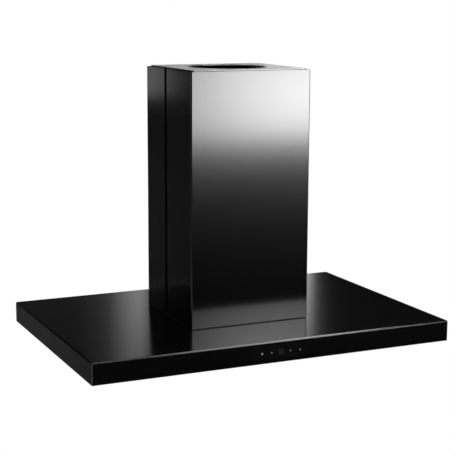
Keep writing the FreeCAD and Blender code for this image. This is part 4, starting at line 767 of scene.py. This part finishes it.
@dataclass
class TouchStrip:
    """White touch marks with a painted glow and the small dark display, printed on the canopy's
    glass strip.
    """

    row_z: float = -0.626
    mark_places: tuple[float, ...] = (-0.048, -0.024, 0.024, 0.048)
    mark_radii: tuple[float, ...] = (0.0023, 0.0014, 0.0013, 0.0014)
    mark_sides: int = 40
    rim_share: float = 0.18
    rim_rise: float = 0.4
    print_thickness: float = 0.00004
    window_width: float = 0.0125
    window_height: float = 0.013
    window_corner: float = 0.0012
    corner_segments: int = 4
    print_y: float = field(init=False)

    def __post_init__(self) -> None:
        """Finds the middle of the prints' thickness, on the front of the glass."""
        low, _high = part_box("touch_glass")
        self.print_y = low[1] - self.print_thickness / 2

    def build(self, shop: Paintshop) -> None:
        """Prints the marks and the display's window on the glass.

        Args:
            shop: where the finishes come from.
        """
        for number, (x, radius) in enumerate(zip(self.mark_places, self.mark_radii), start=1):
            mark = self._mark(x, radius, f"touch_mark_{number}")
            mark.data.materials.append(shop.coat(Finishes.white_print))
            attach(mark, "hood")
        window = self._window()
        window.data.materials.append(shop.coat(Finishes.display_black))
        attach(window, "hood")

    def _mark(self, x: float, radius: float, name: str) -> bpy.types.Object:
        """Makes one round mark with a softened rim.

        Args:
            x: its place across the strip.
            radius: its radius.
            name: its name.

        Returns:
            The mark.
        """
        Bench.clear()
        bpy.ops.mesh.primitive_cylinder_add(
            vertices=self.mark_sides,
            radius=radius,
            depth=self.print_thickness,
            location=(x, self.print_y, self.row_z),
            rotation=(math.pi / 2, 0.0, 0.0),
        )
        mark = bpy.context.object
        Bench.settle(mark, name)
        Bench.choose(mark, lambda face: face.normal.y < -LOOKS_ALONG)
        bpy.ops.mesh.inset(
            thickness=radius * self.rim_share, depth=self.print_thickness * self.rim_rise
        )
        Bench.clear()
        return mark

    def _window(self) -> bpy.types.Object:
        """Makes the display's window with rounded corners.

        Returns:
            The window.
        """
        Bench.clear()
        bpy.ops.mesh.primitive_cube_add(
            size=1.0,
            location=(0.0, self.print_y, self.row_z),
            scale=(self.window_width, self.print_thickness, self.window_height),
        )
        window = bpy.context.object
        Bench.settle(window, "display_window")
        weights = window.data.attributes.new("bevel_weight_edge", "FLOAT", "EDGE")
        for edge in window.data.edges:
            start, end = (window.data.vertices[index].co for index in edge.vertices)
            weights.data[edge.index].value = 1.0 if abs(start.y - end.y) > NEAR else 0.0
        Bench.modify(
            window,
            "BEVEL",
            width=self.window_corner,
            segments=self.corner_segments,
            limit_method="WEIGHT",
        )
        return window


# ---- Grease filters ----------------------------------------------------------------------------


@dataclass(frozen=True)
class MeshLayer:
    """One sheet of expanded aluminium in a filter's pack.

    Its diamonds repeat at pitch_x and pitch_y. The strands are strand wide and lean by tilt, the
    sheet lies at rise over the pack's underside, and a sheet with no thickness is a bare skin.
    """

    pitch_x: float
    pitch_y: float
    strand: float
    tilt: float
    rise: float
    thickness: float = 0.0


@dataclass
class FilterPack:
    """Expanded aluminium layers of one grease filter, held in its frame's channel."""

    side: str
    edge_gap: float = 0.0012
    tray_half_width: float = 0.034
    tray_depth: float = 0.042
    tray_overlap: float = 0.004
    layers: tuple[MeshLayer, ...] = (
        MeshLayer(0.016, 0.0092, strand=0.001, tilt=0.0008, rise=0.0008, thickness=0.0005),
        MeshLayer(0.0095, 0.0165, strand=0.0008, tilt=0.0005, rise=0.0031),
        MeshLayer(0.0155, 0.0088, strand=0.0009, tilt=0.0005, rise=0.0052),
    )
    node: str = field(init=False)
    low: Vector = field(init=False)
    high: Vector = field(init=False)

    def __post_init__(self) -> None:
        """Takes the pack's room from the node that it stands for."""
        self.node = f"filter_mesh_{self.side}"
        self.low, self.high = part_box(self.node)

    def build(self, shop: Paintshop) -> None:
        """Lays the sheets one over the other in place of the pack's solid.

        Args:
            shop: where the finishes come from.
        """
        sheets = [self._sheet(number, layer) for number, layer in enumerate(self.layers)]
        pack = Bench.join(sheets)
        Bench.settle(pack, f"filter_pack_{self.side}", smooth_angle=20.0)
        pack.data.materials.clear()
        pack.data.materials.append(shop.coat(Finishes.filter_aluminium))
        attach(pack, f"filter_{self.side}")
        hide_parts(self.node)

    def _sheet(self, number: int, layer: MeshLayer) -> bpy.types.Object:
        """Makes one expanded sheet, trimmed to the channel and the latch's tray.

        Args:
            number: the sheet's number in the pack.
            layer: its sizes.

        Returns:
            The sheet.
        """
        cell = self._cell(layer)
        width = self.high[0] - self.low[0]
        depth = self.high[1] - self.low[1]
        columns = math.ceil(width / layer.pitch_x) + 1
        rows = math.ceil(depth / layer.pitch_y) + 1
        for count, step in ((columns, (layer.pitch_x, 0, 0)), (rows, (0, layer.pitch_y, 0))):
            Bench.modify(
                cell,
                "ARRAY",
                count=count,
                use_relative_offset=False,
                use_constant_offset=True,
                constant_offset_displace=step,
            )
        bpy.ops.object.duplicate()
        between = bpy.context.object
        between.location = (layer.pitch_x / 2, layer.pitch_y / 2, 0.0)
        sheet = Bench.join([cell, between])
        start_x = (self.low[0] + self.high[0] - (columns - 0.5) * layer.pitch_x) / 2
        start_y = (self.low[1] + self.high[1] - (rows - 0.5) * layer.pitch_y) / 2
        sheet.location = (start_x, start_y, self.low[2] + layer.rise)
        Bench.settle(sheet, f"sheet_{number}")
        self._trim(sheet)
        return sheet

    @staticmethod
    def _cell(layer: MeshLayer) -> bpy.types.Object:
        """Makes one diamond of four strands that lean the way the sheet was stretched.

        Args:
            layer: the sheet's sizes.

        Returns:
            The diamond.
        """
        Bench.clear()
        bpy.ops.mesh.primitive_circle_add(vertices=4, radius=1.0, fill_type="NGON")
        cell = bpy.context.object
        cell.scale = (layer.pitch_x / 2, layer.pitch_y / 2, 1.0)
        Bench.pick(cell)
        bpy.ops.object.transform_apply(location=False, rotation=False, scale=True)
        Bench.choose(cell, lambda face: True)
        bpy.ops.mesh.inset(thickness=layer.strand)
        bpy.ops.mesh.delete(type="ONLY_FACE")
        Bench.clear()
        for vertex in cell.data.vertices:
            on_rim = abs(vertex.co.y) > layer.pitch_y / 2 - NEAR
            if abs(vertex.co.x) < NEAR and not on_rim:
                vertex.co.z = math.copysign(layer.tilt, vertex.co.y)
        if layer.thickness:
            Bench.modify(cell, "SOLIDIFY", thickness=layer.thickness, offset=0.0)
        return cell

    def _trim(self, sheet: bpy.types.Object) -> None:
        """Cuts a sheet to the channel's inside and takes out its corner at the tray.

        Args:
            sheet: the sheet, in place.
        """
        cuts = (
            ((self.low[0] + self.edge_gap, 0, 0), (-1, 0, 0)),
            ((self.high[0] - self.edge_gap, 0, 0), (1, 0, 0)),
            ((0, self.low[1] + self.edge_gap, 0), (0, -1, 0)),
            ((0, self.high[1] - self.edge_gap, 0), (0, 1, 0)),
        )
        for point, normal in cuts:
            Bench.choose(sheet, lambda face: True)
            bpy.ops.mesh.bisect(plane_co=point, plane_no=normal, clear_outer=True)
            Bench.clear()
        centre_x = (self.low[0] + self.high[0]) / 2
        tray_x = self.tray_half_width - self.tray_overlap
        tray_y = self.low[1] + self.tray_depth - self.tray_overlap

        def in_tray(face: bpy.types.MeshPolygon) -> bool:
            """Whether a face is well inside the tray."""
            return abs(face.center.x - centre_x) < tray_x and face.center.y < tray_y

        Bench.choose(sheet, in_tray)
        bpy.ops.mesh.delete(type="FACE")
        Bench.clear()


# ---- Latch springs -----------------------------------------------------------------------------


@dataclass
class LatchSpring:
    """Coil spring behind one filter latch, which the latch shortens as it draws back; it is wound
    here at one fixed length.
    """

    side: str
    wire_radius: float = 0.0003
    wire_sides: int = 8
    turns: int = 6
    steps_per_turn: int = 18
    latch_travel: float = 0.005

    def build(self, shop: Paintshop) -> None:
        """Winds the spring in place of its solid.

        Args:
            shop: where the finishes come from.
        """
        node = f"latch_spring_{self.side}"
        low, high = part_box(node)
        centre_x, centre_z = (low[0] + high[0]) / 2, (low[2] + high[2]) / 2
        length = high[1] - low[1]
        coil_radius = (high[0] - low[0]) / 2 - self.wire_radius
        spring = self._coil(coil_radius, length - 2 * self.wire_radius)
        spring.location = (centre_x, low[1] + self.wire_radius, centre_z)
        Bench.settle(spring, f"coil_spring_{self.side}", smooth_angle=60.0)
        spring.data.materials.append(shop.coat(Finishes.fastener_steel))
        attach(spring, f"filter_{self.side}")
        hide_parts(node)
        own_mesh(spring)

    def _coil(self, radius: float, length: float) -> bpy.types.Object:
        """Winds the wire about the Y axis from the origin.

        Args:
            radius: from the coil's axis to the wire's.
            length: between the wire's ends.

        Returns:
            The coil.
        """
        Bench.clear()
        bpy.ops.mesh.primitive_circle_add(
            vertices=self.wire_sides, radius=self.wire_radius, location=(radius, 0.0, 0.0)
        )
        coil = bpy.context.object
        bpy.ops.object.transform_apply(location=True, rotation=True, scale=True)
        Bench.modify(
            coil,
            "SCREW",
            axis="Y",
            angle=math.tau,
            iterations=self.turns,
            screw_offset=length / self.turns,
            steps=self.steps_per_turn,
            render_steps=self.steps_per_turn,
        )
        Bench.choose(coil, lambda face: True)
        bpy.ops.mesh.fill_holes(sides=0)
        bpy.ops.mesh.normals_make_consistent(inside=False)
        Bench.clear()
        return coil


# ---- Pan screws --------------------------------------------------------------------------------


@dataclass
class PanScrews:
    """Countersunk cross-recess screws that hold the underside pan, flush with the rim."""

    head_radius: float = 0.004
    shank_radius: float = 0.002
    head_height: float = 0.0022
    length: float = 0.009
    sides: int = 32
    rim_share: float = 0.06
    rim_rise: float = 0.00006
    recess_length: float = 0.0046
    recess_width: float = 0.001
    recess_depth: float = 0.0013
    recess_taper: float = 0.45
    rim_z: float = -0.65
    corners: tuple[float, float] = (0.416, 0.292)
    front_middle_x: float = 0.221
    end_x: float = 0.442
    seed: int = 9

    def places(self) -> list[tuple[float, float]]:
        """Finds where the nine screws go.

        Returns:
            Their X and Y.
        """
        x, y = self.corners
        around = [(-x, -y), (x, -y), (-x, y), (x, y)]
        middles = [(0.0, y), (-self.front_middle_x, -y), (self.front_middle_x, -y)]
        return around + middles + [(-self.end_x, 0.0), (self.end_x, 0.0)]

    def build(self, shop: Paintshop) -> None:
        """Turns one screw and drives a copy of it into each place.

        Args:
            shop: where the finishes come from.
        """
        pattern = self._screw()
        dice = random.Random(self.seed)
        for number, (x, y) in enumerate(self.places(), start=1):
            screw = pattern.copy()
            screw.data = pattern.data.copy()
            bpy.context.scene.collection.objects.link(screw)
            screw.location = (x, y, self.rim_z)
            screw.rotation_euler = (0.0, 0.0, dice.uniform(0.0, math.pi / 2))
            Bench.settle(screw, f"pan_screw_{number}")
            screw.data.materials.clear()
            screw.data.materials.append(shop.coat(Finishes.black_screws))
            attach(screw, "hood")
            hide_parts("pan_screws")
        bpy.data.objects.remove(pattern)

    def _screw(self) -> bpy.types.Object:
        """Makes the screw with its head's face at the origin, facing down.

        Returns:
            The screw.
        """
        Bench.clear()
        bpy.ops.mesh.primitive_cone_add(
            vertices=self.sides,
            radius1=self.head_radius,
            radius2=self.shank_radius,
            depth=self.head_height,
            location=(0.0, 0.0, self.head_height / 2),
        )
        screw = bpy.context.object
        Bench.settle(screw, "pan_screw")
        Bench.choose(screw, lambda face: face.normal.z > LOOKS_ALONG)
        shank = (0.0, 0.0, self.length - self.head_height)
        bpy.ops.mesh.extrude_region_move(TRANSFORM_OT_translate={"value": shank})
        Bench.choose(screw, lambda face: face.normal.z < -LOOKS_ALONG)
        bpy.ops.mesh.inset(thickness=self.head_radius * self.rim_share, depth=self.rim_rise)
        Bench.clear()
        for quarter in (0.0, math.pi / 2):
            self._cut_recess(screw, quarter)
        return screw

    def _cut_recess(self, screw: bpy.types.Object, quarter: float) -> None:
        """Cuts one tapered slot of the cross.

        Args:
            screw: the screw.
            quarter: the slot's turn about the screw's axis.
        """
        Bench.clear()
        bpy.ops.mesh.primitive_cube_add(
            size=1.0,
            location=(0.0, 0.0, 0.0),
            rotation=(0.0, 0.0, quarter),
            scale=(self.recess_length, self.recess_width, 2 * self.recess_depth),
        )
        cutter = bpy.context.object
        Bench.settle(cutter, "recess_cutter")
        Bench.choose(cutter, lambda face: face.normal.z > LOOKS_ALONG)
        bpy.ops.transform.resize(value=(self.recess_taper, self.recess_taper, 1.0))
        Bench.modify(screw, "BOOLEAN", operation="DIFFERENCE", object=cutter)
        bpy.data.objects.remove(cutter)


# ---- Studio ------------------------------------------------------------------------------------


@dataclass(frozen=True)
class SoftLight:
    """One rectangular soft light that faces the hood square on, with fading edges.

    It stands at plane on the axis that it faces. Each fade is (share of the way, share of the
    radiance) pairs.
    """

    name: str
    faces: str
    plane: float
    across: Span
    along: Span
    radiance: float
    fade_across: Fade = EVEN
    fade_along: Fade = EVEN

    def add(self) -> None:
        """Adds the light to the scene, out of the camera's sight.

        A light that faces X or Y runs across the other level axis and along Z; one that faces Z
        runs across X and along Y. With an energy of pi times its area, its emission strength is
        its radiance.
        """
        width = self.across[1] - self.across[0]
        height = self.along[1] - self.along[0]
        middle = [sum(self.across) / 2, sum(self.along) / 2]
        middle.insert("XYZ".index(self.faces), self.plane)
        towards = Vector((0.0, 0.0, 0.0))
        towards["XYZ".index(self.faces)] = -math.copysign(1.0, self.plane)
        data = bpy.data.lights.new(self.name, "AREA")
        data.shape = "RECTANGLE"
        data.size = width
        data.size_y = height
        data.energy = math.pi * width * height
        g = Graph(data)
        spot = g.node("ShaderNodeNewGeometry", output="Position")
        level = "Y" if self.faces == "X" else "X"
        upright = "Y" if self.faces == "Z" else "Z"
        share = self._share(g, spot, level, self.across, self.fade_across)
        share = share * self._share(g, spot, upright, self.along, self.fade_along)
        glow = g.node("ShaderNodeEmission", None, {"Strength": share * self.radiance})
        g.node("ShaderNodeOutputLight", None, {"Surface": glow})
        light = bpy.data.objects.new(self.name, data)
        light.location = middle
        light.rotation_euler = towards.to_track_quat("-Z", "Y").to_euler()
        light.visible_camera = False
        bpy.context.scene.collection.objects.link(light)

    @staticmethod
    def _share(g: Graph, spot: Socket, letter: str, span: Span, fade: Fade) -> Socket:
        """Share of the radiance by how far along an axis a spot is on the light's span."""
        way = (g.part(spot, letter) - span[0]) / (span[1] - span[0])
        return g.node("ShaderNodeValToRGB", {"stops": fade}, {"Fac": way})


# The canopy's top mirrors rear_card: the steep peaks in its fade are the bright bands there.
LIGHTS: tuple[SoftLight, ...] = (
    SoftLight(
        "front_softbox", "Y", -3.4, across=(0.9, 2.5), along=(-0.565, -0.06), radiance=25.8,
        fade_across=((0.0, 0.34), (0.2, 0.46), (0.42, 0.83), (0.62, 1.0)),
    ),
    SoftLight(
        "front_upper", "Y", -3.5, across=(1.1, 2.15), along=(0.36, 0.86), radiance=26.0,
        fade_across=((0.0, 0.26), (0.2, 0.42), (0.45, 1.0)),
        fade_along=((0.0, 0.0), (0.3, 1.0), (1.0, 1.0)),
    ),
    SoftLight(
        "rear_card", "Y", 2.6, across=(-0.3, 1.95), along=(-0.25, 1.2), radiance=0.62,
        fade_across=(
            (0.0, 0.04), (0.33, 0.04), (0.4, 0.13), (0.465, 1.25), (0.478, 1.25),
            (0.49, 0.1), (0.77, 0.1), (0.8, 2.1), (0.864, 2.1), (0.877, 0.0),
        ),
        fade_along=((0.0, 1.0), (0.2, 1.1), (0.35, 0.65), (1.0, 0.5)),
    ),
    SoftLight("side_card", "Y", 2.6, across=(-1.2, -0.7), along=(-0.28, -0.11), radiance=0.75),
    SoftLight("side_low_card", "Y", 2.65, across=(-1.5, -0.9), along=(-1.11, -0.27), radiance=0.022),
    SoftLight("skirt_card", "Y", 2.6, across=(-1.47, -0.97), along=(-1.65, -1.15), radiance=0.075),
    SoftLight("overhead", "Z", 2.6, across=(1.05, 2.2), along=(-1.2, 2.2), radiance=12.0),
    SoftLight("overhead_left", "Z", 2.7, across=(-2.8, 1.0), along=(-2.2, 2.2), radiance=1.1),
    SoftLight(
        "front_high", "Y", -3.6, across=(-2.6, 2.6), along=(1.2, 2.8), radiance=5.0,
        fade_along=((0.0, 0.0), (0.6, 1.0)),
    ),
    SoftLight(
        "front_low_left", "Y", -3.6, across=(-3.8, 0.35), along=(-3.1, -1.4), radiance=2.5,
        fade_across=((0.0, 1.0), (0.7, 1.0), (1.0, 0.0)),
        fade_along=((0.0, 0.1), (0.4, 0.6), (1.0, 1.0)),
    ),
    SoftLight(
        "back_fill", "Y", 2.8, across=(-0.7, 3.4), along=(-2.2, -0.5), radiance=2.4,
        fade_along=((0.0, 0.1), (0.9, 1.0), (1.0, 0.3)),
    ),
    SoftLight(
        "back_left_fill", "Y", 2.8, across=(-4.4, -2.3), along=(-2.2, -0.1), radiance=1.8,
        fade_along=((0.0, 0.1), (1.0, 1.0)),
    ),
    SoftLight(
        "right_fill", "X", 3.0, across=(-1.2, 1.2), along=(-2.0, 0.2), radiance=2.4,
        fade_along=((0.0, 0.1), (0.5, 0.75), (0.65, 0.3), (1.0, 0.4)),
    ),
    SoftLight(
        "front_dim", "Y", -3.7, across=(-1.0, 0.6), along=(-1.1, 0.5), radiance=0.7,
        fade_across=((0.0, 0.5), (0.5, 1.0), (1.0, 0.2)),
        fade_along=((0.0, 0.1), (0.5, 0.4), (1.0, 1.0)),
    ),
    SoftLight(
        "left_dim", "X", -3.1, across=(-0.7, 0.7), along=(-1.1, 0.5), radiance=0.6,
        fade_across=((0.0, 0.2), (0.5, 1.0), (1.0, 0.5)),
        fade_along=((0.0, 0.1), (0.5, 0.4), (1.0, 1.0)),
    ),
    SoftLight(
        "left_fill", "X", -3.0, across=(-0.6, 1.8), along=(-2.8, -1.3), radiance=2.6,
        fade_along=((0.0, 0.1), (0.7, 1.0), (1.0, 0.5)),
    ),
    SoftLight(
        "under_fill", "Z", -2.8, across=(-4.0, 4.0), along=(-4.0, 4.0), radiance=0.85,
        fade_across=((0.0, 0.2), (0.3, 0.5), (0.5, 1.0), (0.7, 0.5), (1.0, 0.2)),
        fade_along=((0.0, 0.2), (0.3, 0.6), (0.5, 1.0), (0.7, 0.6), (1.0, 0.2)),
    ),
)


@dataclass
class Studio:
    """Camera, lights, pale floor and backdrop."""

    frame_px: int = 456
    focal_px: float = 1257.6
    sensor_mm: float = 36.0
    far_limit: float = 400.0
    yaw: float = -24.746
    pitch: float = -10.364
    roll: float = -0.251
    camera_place: tuple[float, float, float] = (-1.26173, -2.74667, 0.16084)
    floor_z: float = -4.2
    floor_size: float = 160.0
    ambient: float = 0.005
    lights: tuple[SoftLight, ...] = LIGHTS

    def add_camera(self) -> None:
        """Adds the camera at the photograph's place and angle."""
        data = bpy.data.cameras.new("camera")
        data.sensor_width = self.sensor_mm
        data.lens = self.focal_px * self.sensor_mm / self.frame_px
        data.clip_end = self.far_limit
        camera = bpy.data.objects.new("camera", data)
        turn = (
            Matrix.Rotation(math.radians(self.yaw), 4, "Z")
            @ Matrix.Rotation(math.radians(self.pitch), 4, "X")
            @ Matrix.Rotation(math.radians(self.roll), 4, "Y")
            @ Matrix.Rotation(math.radians(90.0), 4, "X")
        )
        camera.matrix_world = Matrix.Translation(self.camera_place) @ turn
        bpy.context.scene.collection.objects.link(camera)
        bpy.context.scene.camera = camera

    def add_floor(self) -> None:
        """Adds a large plain pale floor far under the hood."""
        Bench.clear()
        bpy.ops.mesh.primitive_plane_add(size=self.floor_size, location=(0.0, 0.0, self.floor_z))
        floor = bpy.context.object
        floor.name = "studio_floor"
        g = Graph("studio_floor")
        glow = g.node("ShaderNodeEmission", None, {"Color": WHITE, "Strength": 1.0})
        g.node("ShaderNodeOutputMaterial", None, {"Surface": glow})
        floor.data.materials.append(g.owner)
        floor.visible_glossy = False
        floor.visible_diffuse = False

    def add_backdrop(self) -> None:
        """Makes the world white behind the hood and dim all round it."""
        g = Graph(bpy.data.worlds.new("backdrop"))
        seen = g.node("ShaderNodeLightPath", output="Is Camera Ray")
        dim = g.node("ShaderNodeBackground", None, {"Color": WHITE, "Strength": self.ambient})
        white = g.node("ShaderNodeBackground", None, {"Color": WHITE, "Strength": 1.0})
        mixed = g.node("ShaderNodeMixShader", None, {0: seen, 1: dim, 2: white})
        g.node("ShaderNodeOutputWorld", None, {"Surface": mixed})
        bpy.context.scene.world = g.owner

    def add_lights(self) -> None:
        """Adds every light in the table."""
        for light in self.lights:
            light.add()

    def build(self) -> None:
        """Adds everything that isn't part of the hood."""
        self.add_camera()
        self.add_floor()
        self.add_backdrop()
        self.add_lights()
        bpy.context.scene.view_settings.view_transform = "Standard"


# ---- Main --------------------------------------------------------------------------------------


def main() -> None:
    """Builds the looks."""
    logging.basicConfig(level=logging.INFO, format="%(name)s: %(message)s")
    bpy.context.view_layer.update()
    shop = Paintshop()
    shop.dress_nodes()
    LOG.info("dressed %d nodes", len(frame["nodes"]))
    TouchStrip().build(shop)
    LOG.info("touch strip printed")
    for side in ("left", "right"):
        FilterPack(side).build(shop)
        LOG.info("filter pack %s laid", side)
        LatchSpring(side).build(shop)
        LOG.info("latch spring %s wound", side)
    PanScrews().build(shop)
    LOG.info("pan screws driven")
    Studio().build()
    LOG.info("studio ready")


if __name__ == "__main__":
    main()
